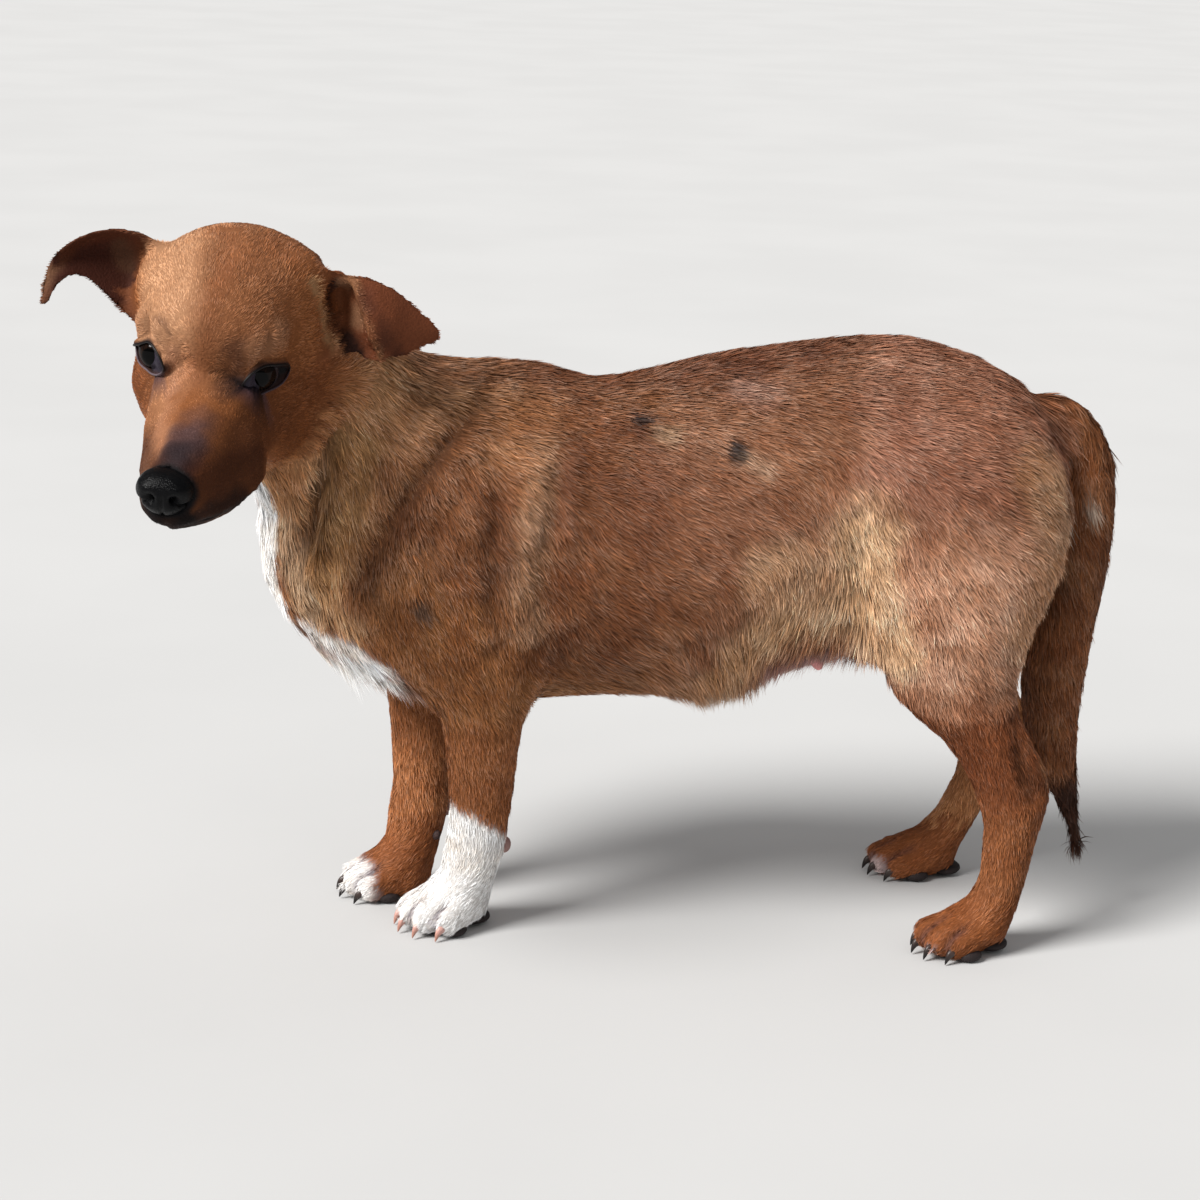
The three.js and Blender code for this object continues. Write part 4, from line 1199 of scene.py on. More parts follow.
class Skin:
    """One closed skin over all the flesh, inside it by the coat's depth, with the markings and painted light and shade
    on it.

    VOXEL is the remesh's cell, OVERLAP and EAR_EXTRA what the nodes are grown by first, and TOE_GAPS the middles of
    the grooves between toes, all in millimetres. DEEPEN darkens all but pale colours, to stand for the shade between
    hairs. LID_BLEND is where the lids begin and end outside the opening's outline, and a crease is its depth, its
    distance from that outline and its half width. BLOCK is how many points are matched at a time, and ROUNDS how
    often each thing is evened out.
    """

    VOXEL = 2.6
    OVERLAP = 0.35
    EAR_EXTRA = 0.9
    DEEPEN = np.array([0.68, 0.74, 0.84])
    BLOCK = 4000
    ROUNDS = {"cover": 8, "lie": 18, "fur": 12, "tone": 26, "ears": 3, "finer": 3}
    TOE_GROOVE = 2.2
    TOE_GAPS = (-11.0, 0.0, 11.0)
    NOSE_HALF = (10, 13.5, 11)
    LID_BLEND = (-12.0, -1.2)
    UPPER_CREASE, LOWER_CREASE = (0.8, 4.4, 1.1), (0.5, 4.8, 1.2)
    LIP, NOSE_EDGE, TOE_GAP = (36, 22, 20), (16, 14, 16), (150, 98, 84)
    LID, LOWER_LID, LID_BED, THIRD_LID = (40, 25, 24), (112, 84, 88), (14, 9, 10), (56, 48, 56)

    def __init__(self, head: Axes, body: Axes, nodes: dict) -> None:
        """Keeps the axes that the shapes are measured on, and the frame's nodes."""
        self.head, self.body, self.nodes = head, body, nodes
        self.noise = Noise(11)

    def flesh(self) -> tuple[Array, Array, Array]:
        """The CAD flesh nodes as one set of arrays, each node grown a little so that neighbours overlap.

        Returns:
            Points in metres, triangles, and each point's number in SKIN_NODES, or -1 on the eyes and nose.
        """
        points, faces, owner, start = [], [], [], 0
        for number, node in enumerate(SKIN_NODES + list(HEAD_MARKS)):
            part = merged_net(self.nodes[node])
            grow = self.OVERLAP + (self.EAR_EXTRA if node.startswith("ear") else 0.0)
            points.append(part.points + part.normals() * grow * MM)
            faces.append(part.faces + start)
            owner.append(np.full(len(part.points), number if number < len(SKIN_NODES) else -1))
            start += len(part.points)
        return np.concatenate(points), np.concatenate(faces), np.concatenate(owner)

    def cover(self, points: Array, faces: Array) -> Net:
        """One closed net round overlapping shells, from Blender's voxel remesh.

        Args:
            points: The shells' points in metres.
            faces: Their faces.

        Returns:
            The net.
        """
        shells = make_object("shells", points, faces)
        remesh = shells.modifiers.new("cover", "REMESH")
        remesh.mode, remesh.voxel_size = "VOXEL", self.VOXEL * MM
        mesh = shells.evaluated_get(bpy.context.evaluated_depsgraph_get()).to_mesh()
        net = net_of(mesh)
        bpy.data.objects.remove(shells, do_unlink=True)
        return net

    @staticmethod
    def nearest(points: Array, anchors: Array) -> Array:
        """The number of the nearest anchor to each point, worked out in blocks.

        Args:
            points: Points.
            anchors: Anchors.

        Returns:
            One anchor's number per point.
        """
        centre = anchors.mean(0)
        a = (anchors - centre).astype(np.float32)
        square = (a * a).sum(1)
        blocks = (points[i : i + Skin.BLOCK] - centre for i in range(0, len(points), Skin.BLOCK))
        return np.concatenate([np.argmin(square - 2 * (block.astype(np.float32) @ a.T), 1) for block in blocks])

    def owner_is(self, net: Net, *nodes: str) -> Array:
        """1 where a point belongs to one of the nodes."""
        return np.isin(np.round(net.values["owner"]).astype(int), numbers_of(nodes)).astype(float)

    def combed(self, net: Net, owner: Array) -> Array:
        """The way the hair runs at each point, before it is evened out.

        On the trunk it is the mean of the combs' ways, each weighted by a bell of its distance.

        Args:
            net: The skin's net.
            owner: Each point's node, by number.

        Returns:
            A unit row per point.
        """
        lies = []
        for node in SKIN_NODES:
            axes = self.head if node.startswith(("head", "ear")) else self.body
            lie = paw_axes(node).turn((0.8, 0.0, -0.6)) if "paw" in node else axes.turn(fur_of(node).lie)
            lies.append(unit(lie))
        lie = np.array(lies)[owner]
        q = mirrored(self.body.local(net.points))
        total = np.full((len(lie), 3), 1e-9)
        for comb in COMBS:
            weight = hill(np.linalg.norm(q - np.array(comb.at), axis=1), 30)
            total += weight[:, None] * np.array([comb.way[0], 0, comb.way[1]])
        trunk = np.isin(owner, numbers_of(COMBED))
        return np.where(trunk[:, None], unit(total) @ self.body.rows, lie)

    def lay_fields(self, net: Net, owner: Array) -> None:
        """Puts the coat table's values on the net's points, evened out where parts meet.

        Args:
            net: The skin's net.
            owner: Each point's node, by number.
        """
        kinds = [fur_of(node) for node in SKIN_NODES]
        net.values["owner"] = owner.astype(float)
        net.values["lie"] = net.spread(self.combed(net, owner), self.ROUNDS["lie"])
        for name in ("length", "width", "depth", "density"):
            amounts = np.array([getattr(k, name) for k in kinds])[owner]
            net.values[name] = net.spread(amounts, self.ROUNDS["fur"])
        net.values["tone"] = net.spread(np.array([linear(k.colour) for k in kinds])[owner], self.ROUNDS["tone"])

    def shape_coat(self, net: Net) -> None:
        """Lengthens or shortens the coat where one part's hair differs from place to place.

        Args:
            net: The skin's net.
        """
        q, p = self.head.local(net.points), self.body.local(net.points)
        values, on_head = net.values, self.owner_is(net, "head")
        face = ease(q[:, 0], -20, 30) * on_head
        muzzle = ease(q[:, 0], 20, 60) * on_head
        values["length"] *= 1 - 0.24 * face - 0.24 * muzzle
        values["width"] *= 1 - 0.15 * face
        values["depth"] *= 1 - 0.3 * face - 0.2 * muzzle
        values["density"] *= 1 + 0.6 * face + 0.5 * muzzle
        throat = ease(-q[:, 0], 25, 60) * on_head
        values["length"] *= 1 + 0.9 * throat
        near_belly = ease(p[:, 0], -40, 30) * (1 - ease(p[:, 0], 128, 150)) * (1 - ease(np.abs(p[:, 1]), 66, 76))
        fringe = hill(p[:, 2] - 150 - 0.32 * ease(p[:, 0], 40, 130) * 100, 22) * near_belly
        values["length"] *= 1 + 1.1 * fringe
        values["free"] = 0.85 * fringe
        seat = ease(p[:, 0], 205, 235) * ease(p[:, 2], 110, 150) * (1 - self.owner_is(net, "tail"))
        values["length"] *= 1 + 0.5 * seat
        tuft = hill(np.linalg.norm(p - [246, -8, 250], axis=1), 16)
        values["length"] *= 1 + 0.7 * tuft
        breast = ease(-p[:, 0], 120, 160) * (1 - ease(p[:, 2], 250, 290)) * (1 - on_head)
        values["length"] *= 1 + 0.35 * breast
        keel, _ = along_line(p, np.array(KEEL))
        values["length"] *= 1 + 1.1 * hill(keel, 15)
        values["free"] = np.maximum(values["free"], 0.75 * hill(keel, 15))
        bare = hill(off_middle(mirrored(p), (104, 34, 160), (26, 26, 14)), 1.0)
        values["density"] *= 1 - 0.8 * bare * (1 - self.owner_is(net, "rump"))
        tip = self.owner_is(net, "tail") * (1 - ease(p[:, 2], 42, 95))
        values["free"] = np.maximum(values["free"], tip)
        values["length"] *= 1 - 0.25 * tip

    def inset(self, net: Net) -> None:
        """Moves the skin in by the coat's depth and by what the nodes were grown.

        Args:
            net: The skin's net.
        """
        ears = net.spread(self.owner_is(net, *both_sides("ear")), self.ROUNDS["ears"])
        back = net.values["depth"] + self.OVERLAP + self.EAR_EXTRA * ears
        net.push(-back)

    def eyelids(self, net: Net) -> None:
        """Draws the skin round each ball: thin lids over it, and the tissue of the corners inside them.

        Each point keeps its direction from the ball's middle. Its distance blends to the lids' as it nears the
        outline, dips in a crease above the upper lid and under the lower one, and falls to the bed inside.

        Args:
            net: The skin's net.
        """
        q = self.head.local(net.points)
        for eye in OPENINGS.values():
            turn, rise, away = eye.angles(q)
            inside, shell = eye.inside(turn, rise), eye.shell(turn, rise)
            new = away + ease(inside, *self.LID_BLEND) * (shell + 0.3 * hill(inside + 1.4, 1.2) - away)
            for (depth, off, wide), way in ((self.UPPER_CREASE, rise), (self.LOWER_CREASE, -rise)):
                new -= depth * hill(inside + off, wide) * ease(way, 6, 20)
            new += ease(inside, -0.3, 0.8) * (eye.bed(turn, rise) - shell)
            near = eye.near(turn, away, 30, 100)
            q = np.where(near[:, None], eye.point(turn, rise, new), q)
        net.points = self.head.world(q)

    def mouth(self, net: Net) -> Array:
        """Presses the closed lips' line into the muzzle and gives the upper lips their pads.

        Args:
            net: The skin's net.

        Returns:
            Each point's distance from that line.
        """
        q = self.head.local(net.points)
        folded = mirrored(q)
        away, _ = along_line(folded, np.array(LIPS))
        here = self.owner_is(net, "head")
        above = q[:, 2] > -45
        push = -1.6 * hill(away, 1.2) + 0.8 * hill(away - 4.0, 2.6) * above - 0.6 * hill(away - 3.5, 2.5) * ~above
        pad = hill(off_middle(folded, (68, 17, -33), (14, 8, 9)), 1.0)
        groove = hill(q[:, 1] + 2, 1.1) * ease(q[:, 0], 74, 84) * ease(q[:, 2], -60, -44)
        push = (push + 0.9 * pad - 0.8 * groove) * here
        net.push(push)
        return np.where(here > 0, away, 99.0)

    def nose_bed(self, net: Net) -> None:
        """Pulls the skin back under the nose leather so that only the leather shows.

        Args:
            net: The skin's net.
        """
        q = self.head.local(net.points)
        deep = 1 - ease(off_middle(q, HEAD_MARKS["nose"], (11, 14, 12)), 0.75, 1.0)
        q[:, 0] -= 6.0 * deep
        net.points = self.head.world(q)

    def ear_cup(self, net: Net) -> None:
        """Hollows the left ear in front of its fold: the leaf steps back behind the fold and the face side of it.

        Args:
            net: The skin's net.
        """
        q = self.head.local(net.points)
        top, low = np.array(EAR_RIDGE)
        run = low - top
        size = np.linalg.norm(run)
        run = run / size
        offset = q[:, 1:] - top
        along, beside = offset @ run, -offset @ np.array([-run[1], run[0]])
        here = ease(-q[:, 0], 22, 30) * (q[:, 0] > -75) * (q[:, 1] > 30)
        cup = ease(beside, 0.0, 3.0) * (1 - ease(beside, 14, 20))
        cup = cup * ease(along, -3, 6) * (1 - ease(along, size - 6, size + 4))
        ridge = hill(beside + 1.2, 2.2) * ease(along, -6, 4) * (1 - ease(along, size - 2, size + 6))
        q[:, 0] += here * (1.6 * ridge - 8.5 * cup)
        net.points = self.head.world(q)
        net.values["cup"] = here * cup

    def creases(self, net: Net) -> None:
        """Presses the folds into the skin: minus depth times a bell of the distance, plus a wider, lower swelling.

        Args:
            net: The skin's net.
        """
        push = np.zeros(len(net.points))
        for fold in FOLDS:
            q = (self.head if fold.head else self.body).local(net.points)
            here = self.owner_is(net, "head") if fold.head else 1.0
            for flipped in (1, -1) if fold.both else (1,):
                away, place = along_line(q * [1, flipped, 1], np.array(fold.line, float))
                fade = np.sin(np.clip(place, 0.04, 0.96) * math.pi) ** 0.5
                bell = hill(away, fold.width) - 0.4 * hill(away - 1.9 * fold.width, fold.width)
                push -= fold.depth * fade * here * bell
        net.push(push)

    def toes(self, net: Net) -> Array:
        """Parts the toes with grooves that run forward over each paw.

        Args:
            net: The skin's net.

        Returns:
            How much of a groove each point lies in, from 0 to 1.
        """
        gap = np.zeros(len(net.points))
        for node in SKIN_NODES:
            if "paw" not in node:
                continue
            q = paw_axes(node).local(net.points)
            here = self.owner_is(net, node) * ease(q[:, 0], 0, 12) * (1 - ease(q[:, 2], 18, 26))
            for middle in self.TOE_GAPS:
                spread = middle * (1 + 0.012 * q[:, 0])
                gap = np.maximum(gap, here * hill(q[:, 1] - spread, 1.7))
        net.push(-self.TOE_GROOVE * gap)
        return gap

    def paint(self, net: Net, lips: Array, gap: Array) -> None:
        """Colours the points: strokes of markings and of painted light and shade, with ragged edges, then lips, lids
        and the gaps between toes, these dimmed as painted shade.

        Args:
            net: The skin's net.
            lips: Each point's distance from the lips' line.
            gap: How much of a toe groove each point lies in.
        """
        tone = net.values["tone"]
        body, head = self.body.local(net.points), self.head.local(net.points)
        ragged = 2.4 * self.noise.at(body, 8.0) + 1.6 * self.noise.at(body + 50, 3.5)
        on_head = self.owner_is(net, "head", *both_sides("ear"))
        for stroke in MARKINGS_AND_PAINTED_LIGHT:
            q = head if stroke.head else body
            where = self.owner_is(net, *stroke.parts) if stroke.parts else (on_head if stroke.head else 1.0)
            for flipped in (1, -1) if stroke.both else (1,):
                away, _ = along_line(q * [1, flipped, 1], np.array(stroke.line, float))
                away = away + ragged * min(1.0, stroke.soft / 8)
                cover = stroke.strength * where * (1 - ease(away, stroke.radius, stroke.radius + stroke.soft))
                tone = laid_over(tone, cover, linear(stroke.colour))
        wet = np.zeros(len(tone))
        corner = ease(head[:, 0], 20, 60)
        cover = 0.92 * (1 - ease(lips, 0.9 + 0.8 * corner, 2.2 + 2.2 * corner))
        tone = laid_over(tone, cover, linear(self.LIP))
        nose = off_middle(head, HEAD_MARKS["nose"], self.NOSE_HALF)
        tone = laid_over(tone, 1 - ease(nose, 1.05, 1.25), linear(self.NOSE_EDGE))
        for eye in OPENINGS.values():
            turn, rise, away = eye.angles(head)
            inside = eye.inside(turn, rise)
            close = eye.near(turn, away)
            dark = close * (1 - ease(-inside, 0.8, 2.8 + eye.smudge * ease(-turn, 10, 60)))
            tone = laid_over(tone, 0.92 * dark, linear(self.LID))
            lower = close * hill(inside + 1.6, 1.1) * ease(-rise, 4, 16)
            tone = laid_over(tone, 0.5 * lower, linear(self.LOWER_LID))
            bed = close * ease(inside, -0.2, 0.6)
            flesh = laid_over(linear(self.LID_BED), ease(-turn, 26, 44), linear(self.THIRD_LID))
            tone = laid_over(tone, bed, flesh)
            wet = np.maximum(wet, bed)
        # Between the toes: the skin's colour there, dimmed as painted shade in the grooves.
        tone = laid_over(tone, 0.8 * gap, linear(self.TOE_GAP) * 0.6)
        pale = ease(tone[:, 2:], 0.42, 0.7)
        net.values["tone"] = np.clip(tone * (self.DEEPEN + pale * (1 - self.DEEPEN)), 0.002, 1)
        net.values["wet"] = np.maximum(wet, 0.6 * (1 - ease(lips, 0.6, 1.6)))

    def bald(self, net: Net) -> None:
        """Takes the tufts off the lids' edge and the nose, shortens them round both, and thins them in the ear's
        hollow.

        Args:
            net: The skin's net.
        """
        q = self.head.local(net.points)
        density, length = net.values["density"], net.values["length"]
        for eye in OPENINGS.values():
            turn, rise, away = eye.angles(q)
            inside = eye.inside(turn, rise)
            near = eye.near(turn, away)
            density = density * np.where(near, ease(-inside, 1.0, 2.4), 1.0)
            length = length * np.where(near, 0.35 + 0.65 * ease(-inside, 1.0, 8.0), 1.0)
        nose = off_middle(q, HEAD_MARKS["nose"], self.NOSE_HALF)
        net.values["density"] = density * ease(nose, 1.04, 1.14) * (1 - 0.6 * net.values["cup"])
        net.values["length"] = length * (0.45 + 0.55 * ease(nose, 1.05, 1.7))

    def sharpened(self, net: Net) -> Net:
        """Cuts the net finer over the face and paws, and finer again round the eyes and mouth.

        Args:
            net: The skin's net.

        Returns:
            The finer net.
        """
        for reach, lip in ((26.0, 9.0), (19.0, 3.5)):
            q = self.head.local(net.points)
            near = np.min([eye.angles(q)[2] for eye in OPENINGS.values()], 0) < reach
            away, _ = along_line(mirrored(q), np.array(LIPS))
            near |= (away < lip) & (q[:, 0] > 18)
            net.values["near"] = near.astype(float)
            net = net.refined(near)
            net.relax(self.ROUNDS["finer"], net.values["near"])
        return net

    def build(self) -> Net:
        """Builds the skin's net with all its shapes, fields and colours.

        Returns:
            The finished skin.
        """
        points, faces, owner = self.flesh()
        net = self.cover(points, faces)
        known = owner >= 0
        net.relax(self.ROUNDS["cover"])
        self.lay_fields(net, owner[known][self.nearest(net.points, points[known])])
        self.shape_coat(net)
        self.inset(net)
        net = self.sharpened(net)
        self.creases(net)
        self.ear_cup(net)
        lips = self.mouth(net)
        gap = self.toes(net)
        self.eyelids(net)
        self.nose_bed(net)
        self.paint(net, lips, gap)
        self.bald(net)
        return net


# ---- coat ----------------------------------------------------------------------------------------
@dataclass(frozen=True)
class CoatPiece:
    """One mesh of tufts.

    Args:
        name: the piece's name.
        nodes: the flesh nodes it covers.
        side: which side of the mid-plane it is on, or both.
        reach: how far forward on head axes it starts and ends, for pieces on the head.
    """

    name: str
    nodes: tuple[str, ...]
    side: Side | None = None
    reach: tuple[float, float] | None = None


COAT_PIECES = (
    CoatPiece("coat_face", ("head",), reach=(-8.0, 200.0)),
    *(CoatPiece(f"coat_head_{side.word}", ("head", f"ear_{side.word}"), side, (-200.0, -8.0)) for side in Side),
    *(CoatPiece(f"coat_fore_{side.word}", ("neck", "chest"), side) for side in Side),
    *(CoatPiece(f"coat_rear_{side.word}", ("belly", "rump"), side) for side in Side),
    CoatPiece("coat_forelegs", both_sides(*FORELEG)),
    CoatPiece("coat_hindlegs", both_sides(*HINDLEG)),
    CoatPiece("coat_tail", ("tail",)),
)


class Unwrap:
    """A flat map of the skin: each group of nodes is seen along the six axis directions, laid out on shelves."""

    GROUPS = (
        ("head", "ear_left", "ear_right"),
        ("neck", "chest", "belly", "rump"),
        *(tuple(f"{part}_{side.word}" for part in leg) for leg in (FORELEG, HINDLEG) for side in Side),
        ("tail",),
    )
    PLANES = ((1, 2), (0, 2), (0, 1))
    MARGIN = 0.004

    def __init__(self, points: Array, normals: Array, owner: Array) -> None:
        """Lays out one chart for each group and direction that has points.

        Args:
            points: Points in metres.
            normals: Their unit normals.
            owner: Their nodes, by number.
        """
        self.group = np.zeros(len(SKIN_NODES), int)
        for g, nodes in enumerate(self.GROUPS):
            self.group[numbers_of(nodes)] = g
        chart, flat = self.project(points, normals, owner)
        boxes = [(c, flat[chart == c].min(0), flat[chart == c].max(0)) for c in np.unique(chart)]
        boxes.sort(key=lambda b: -(b[2] - b[1])[1])
        area = sum(np.prod(high - low + self.MARGIN) for _, low, high in boxes)
        width = math.sqrt(area * 1.15)
        self.shift = np.zeros((len(self.GROUPS) * 6, 2))
        x, y, tall = 0.0, 0.0, 0.0
        for c, low, high in boxes:
            wide, height = high - low + self.MARGIN
            if x + wide > width and x > 0:
                x, y, tall = 0.0, y + tall, 0.0
            self.shift[c] = np.array([x, y]) - low + self.MARGIN / 2
            x, tall = x + wide, max(tall, height)
        self.scale = 0.99 / max(width, y + tall)

    def project(self, points: Array, normals: Array, owner: Array) -> tuple[Array, Array]:
        """Each point's chart number and its place seen along that chart's direction.

        Args:
            points: Points in metres.
            normals: Their unit normals.
            owner: Their nodes, by number.

        Returns:
            A number, and two measures, per point.
        """
        axis = np.abs(normals).argmax(1)
        sign = np.take_along_axis(normals, axis[:, None], 1)[:, 0] > 0
        planes = np.array(self.PLANES)[axis]
        flat = np.take_along_axis(points, planes, 1)
        return self.group[owner] * 6 + axis * 2 + sign, flat

    def at(self, points: Array, normals: Array, owner: Array) -> Array:
        """Map places of points."""
        chart, flat = self.project(points, normals, owner)
        return (flat + self.shift[chart]) * self.scale


@dataclass
class Coat:
    """Tufts over the skin: thin tapering blades of three triangles that lie along the body.

    BLADE gives each of a blade's five points as a share of its length and of its width. A blade starts SUNK
    millimetres under the skin and stays CLEAR above the floor. MOTTLE tints the patches, and the straw colour
    lightens the tips: partly the coat's pale tips and partly painted highlight for glints on the hair. Each tuft is
    darker at its root, painted shade deep in the coat, and lighter at its tip, partly painted highlight.
    SWIRLS are patterns that turn the hair: an angle in radians, a cell in millimetres and the pattern's shift. STRAY,
    ROLL and DRIFT are the random turns in the skin, about the blade and along it. LENGTHS, RISES and WIDTHS are the
    ends of random factors, and BENDS limits the skin's curvature per metre.

    Args:
        net: the skin.
        head: head axes.
        body: body axes.
        most: the largest number of tufts in a piece.
        amount: share of the table's density that is used.
        patch: width of a tuft's patch on the flat map.
    """

    BLADE = ((0.0, 0.5), (0.0, -0.5), (0.52, 0.42), (0.52, -0.42), (1.0, 0.0))
    TRIANGLES = ((0, 1, 2), (1, 3, 2), (2, 3, 4))
    SUNK = 0.25
    CLEAR = 0.3
    SWIRLS = ((0.20, 7.0, 0), (0.16, 19.0, 90))
    STRAY, ROLL, DRIFT = 0.13, 0.45, 0.06
    LENGTHS, RISES, WIDTHS, BENDS = (0.72, 1.18), (0.35, 1.25), (0.7, 1.25), (-12, 60)
    MOTTLE = np.array([0.20, 0.30, 0.40])
    STRAW = np.array([1.25, 1.02, 0.80])
    SHADES = {"root": 0.52, "middle": 0.95, "tip": 1.25}

    net: Net
    head: Axes
    body: Axes
    most: int = 65500
    amount: float = 0.86
    patch: float = 0.003

    def __post_init__(self) -> None:
        """Works out what every piece needs from the skin."""
        self.normals = self.net.normals()
        self.lie = self.net.values["lie"]
        self.curve = self.net.spread(self.net.bend(tangent(self.lie, self.normals)), 4)
        self.area = np.linalg.norm(self.net.face_cross(), axis=1) / 2 / MM**2
        self.owner = np.round(self.net.values["owner"]).astype(int)
        self.middle = self.net.points[self.net.faces].mean(1)
        self.face_owner = self.owner[self.net.faces[:, 0]]
        self.face_normal = unit(self.net.face_cross())
        self.map = Unwrap(self.middle, self.face_normal, self.face_owner)
        self.noise = Noise(23)

    def faces_of(self, piece: CoatPiece) -> Array:
        """Which faces a piece covers.

        Args:
            piece: The coat piece.

        Returns:
            True or false for each face.
        """
        here = np.isin(self.face_owner, numbers_of(piece.nodes))
        q = self.head.local(self.middle)
        if piece.reach is not None:
            ears = np.isin(self.face_owner, numbers_of(both_sides("ear")))
            here &= ears | ((q[:, 0] >= piece.reach[0]) & (q[:, 0] < piece.reach[1]))
            leftward = np.where(ears, piece.side.value if piece.side else 1, q[:, 1])
        else:
            leftward = -self.body.local(self.middle)[:, 1]
        return here if piece.side is None else here & (leftward * piece.side.value > 0)

    def roots(self, chosen: Array, rng: np.random.Generator) -> tuple[Array, Array]:
        """Spreads roots over faces by area times density: even steps along the running total, with a jitter.

        Args:
            chosen: Whether each face may carry roots.
            rng: The source of random numbers.

        Returns:
            Each root's face, and its three corner weights.
        """
        faces = np.flatnonzero(chosen)
        dense = self.net.values["density"][self.net.faces[faces]].mean(1)
        total = np.cumsum(self.area[faces] * dense) * self.amount
        count = min(int(total[-1]), self.most)
        steps = (np.arange(count) + rng.uniform(0, 1, count)) / count * total[-1]
        face = faces[np.minimum(np.searchsorted(total, steps), len(faces) - 1)]
        a, b = rng.uniform(0, 1, (2, count))
        over = a + b > 1
        a, b = np.where(over, 1 - a, a), np.where(over, 1 - b, b)
        return face, np.stack([1 - a - b, a, b], 1)

    def grow(self, piece: CoatPiece, seed: int) -> bpy.types.Object:
        """Builds one piece's tufts.

        A tuft leaves its root along the lie, turned a little by a pattern that neighbours share and a little at
        random, rises by up to the coat's depth, and bends down with the skin under it: its height at a distance s
        is s times the rise less half the skin's curvature times s squared. No tip goes through the floor.

        Args:
            piece: which tufts.
            seed: for this piece's random draws.

        Returns:
            The finished object.
        """
        rng = np.random.default_rng(seed)
        face, weight = self.roots(self.faces_of(piece), rng)
        corner = self.net.faces[face]
        count = len(face)

        def blend(values: Array) -> Array:
            """Values on the skin's points, at the roots."""
            return (values[corner] * (weight if values.ndim == 1 else weight[..., None])).sum(1)

        root, normal = blend(self.net.points), unit(blend(self.normals))
        here = root / MM
        lie = unit(blend(self.lie))
        out = (lie * normal).sum(1)
        keep = np.where(out > 0, blend(self.net.values["free"]), 0.0)
        lie = unit(lie - (out * (1 - keep))[:, None] * normal)
        across = np.cross(normal, lie)
        swirl = sum(angle * self.noise.at(here + shift, cell) for angle, cell, shift in self.SWIRLS)
        swirl = swirl + rng.normal(0, self.STRAY, count)
        lie, across = (
            lie * np.cos(swirl)[:, None] + across * np.sin(swirl)[:, None],
            across * np.cos(swirl)[:, None] - lie * np.sin(swirl)[:, None],
        )
        clump = self.noise.at(here - 40, 5.0)
        length = blend(self.net.values["length"]) * (0.86 + 0.16 * clump) * rng.uniform(*self.LENGTHS, count)
        rise = blend(self.net.values["depth"]) / blend(self.net.values["length"]) * rng.uniform(*self.RISES, count)
        bend = np.clip(blend(self.curve), *self.BENDS) * MM
        width = blend(self.net.values["width"]) * rng.uniform(*self.WIDTHS, count)
        roll = rng.normal(0, self.ROLL, count)
        flat = across * np.cos(roll)[:, None] + normal * np.sin(roll)[:, None]
        sideways = rng.normal(0, self.DRIFT, count) + 0.05 * clump
        points = np.empty((count, len(self.BLADE), 3))
        for k, (step, spread) in enumerate(self.BLADE):
            s = length * step
            height = s * rise * (1 - 0.35 * step) - 0.5 * bend * s**2 - self.SUNK
            drift = sideways * s * step
            points[:, k] = (
                root
                + (lie * s[:, None] + normal * height[:, None] + across * drift[:, None]) * MM
                + flat * (width * spread)[:, None] * MM
            )
        points[..., 2] = np.maximum(points[..., 2], self.CLEAR * MM)
        faces = (np.arange(count)[:, None, None] * len(self.BLADE) + np.array(self.TRIANGLES)).reshape(-1, 3)
        tuft = make_object(piece.name, points.reshape(-1, 3), faces)
        even = np.clip(length / 9, 0.3, 1)
        set_tone(tuft, self.shade(blend(self.net.values["tone"]), here, even, clump, rng).reshape(-1, 3))
        self.map_tufts(tuft, root, face)
        return tuft

    def shade(self, tone: Array, here: Array, even: Array, clump: Array, rng: np.random.Generator) -> Array:
        """Colours each tuft's five points: darker at the root as painted shade deep in the coat, lighter at the tip,
        partly the coat's pale tips and partly painted highlight, and mottled between tufts.

        Args:
            tone: the coat's colour at each root.
            here: the roots, millimetres.
            even: how strong the mottling is at each root, from 0 to 1; short hair is more even.
            clump: the pattern that neighbouring tufts share.
            rng: for the random draws.

        Returns:
            Colours, tuft by tuft and point by point.
        """
        count = len(tone)
        patch = even * (self.noise.at(here + 91, 15.0) + 0.8 * self.noise.at(here + 17, 6.5))
        tone = tone * np.exp(patch[:, None] * self.MOTTLE)
        value = np.exp(even * (rng.normal(0, 0.22, count) + 0.10 * clump) + 0.10 * self.noise.at(here + 7, 22.0))
        # The straw tip colour: partly the coat's pale tips, partly painted highlight for glints on the hair.
        straw_tip_and_glint = tone * 0.9 + tone.mean(1, keepdims=True) * self.STRAW * 1.1 + 0.03
        pale = even * np.clip(rng.normal(0.3, 0.5, count) + 0.5 * self.noise.at(here + 31, 12.0), 0, 1)
        body = tone * value[:, None]
        tip = body + (0.85 * pale)[:, None] * (straw_tip_and_glint * value[:, None] - body)
        # Darker roots are painted shade deep in the coat; brighter tips are partly painted highlight.
        root, middle, end = body * self.SHADES["root"], body * self.SHADES["middle"], tip * self.SHADES["tip"]
        return np.stack([root, root, middle, middle, end], 1)

    def map_tufts(self, tuft: bpy.types.Object, root: Array, face: Array) -> None:
        """Gives each tuft a small patch on the skin's flat map, at its root's place.

        Args:
            tuft: The tufts' object.
            root: Each root's point.
            face: Each root's face.
        """
        centre = self.map.at(root, self.face_normal[face], self.face_owner[face])
        half = self.patch / 2
        corners = np.array([[-half, -half], [half, -half], [-half, 0.2 * half], [half, 0.2 * half], [0, half]])
        uv = (centre[:, None, :] + corners[None]).reshape(-1, 2)
        layer = tuft.data.uv_layers.new(name="OFBake")
        corner = np.zeros(len(tuft.data.loops), np.int32)
        tuft.data.loops.foreach_get("vertex_index", corner)
        layer.data.foreach_set("uv", uv[corner].astype(np.float32).ravel())


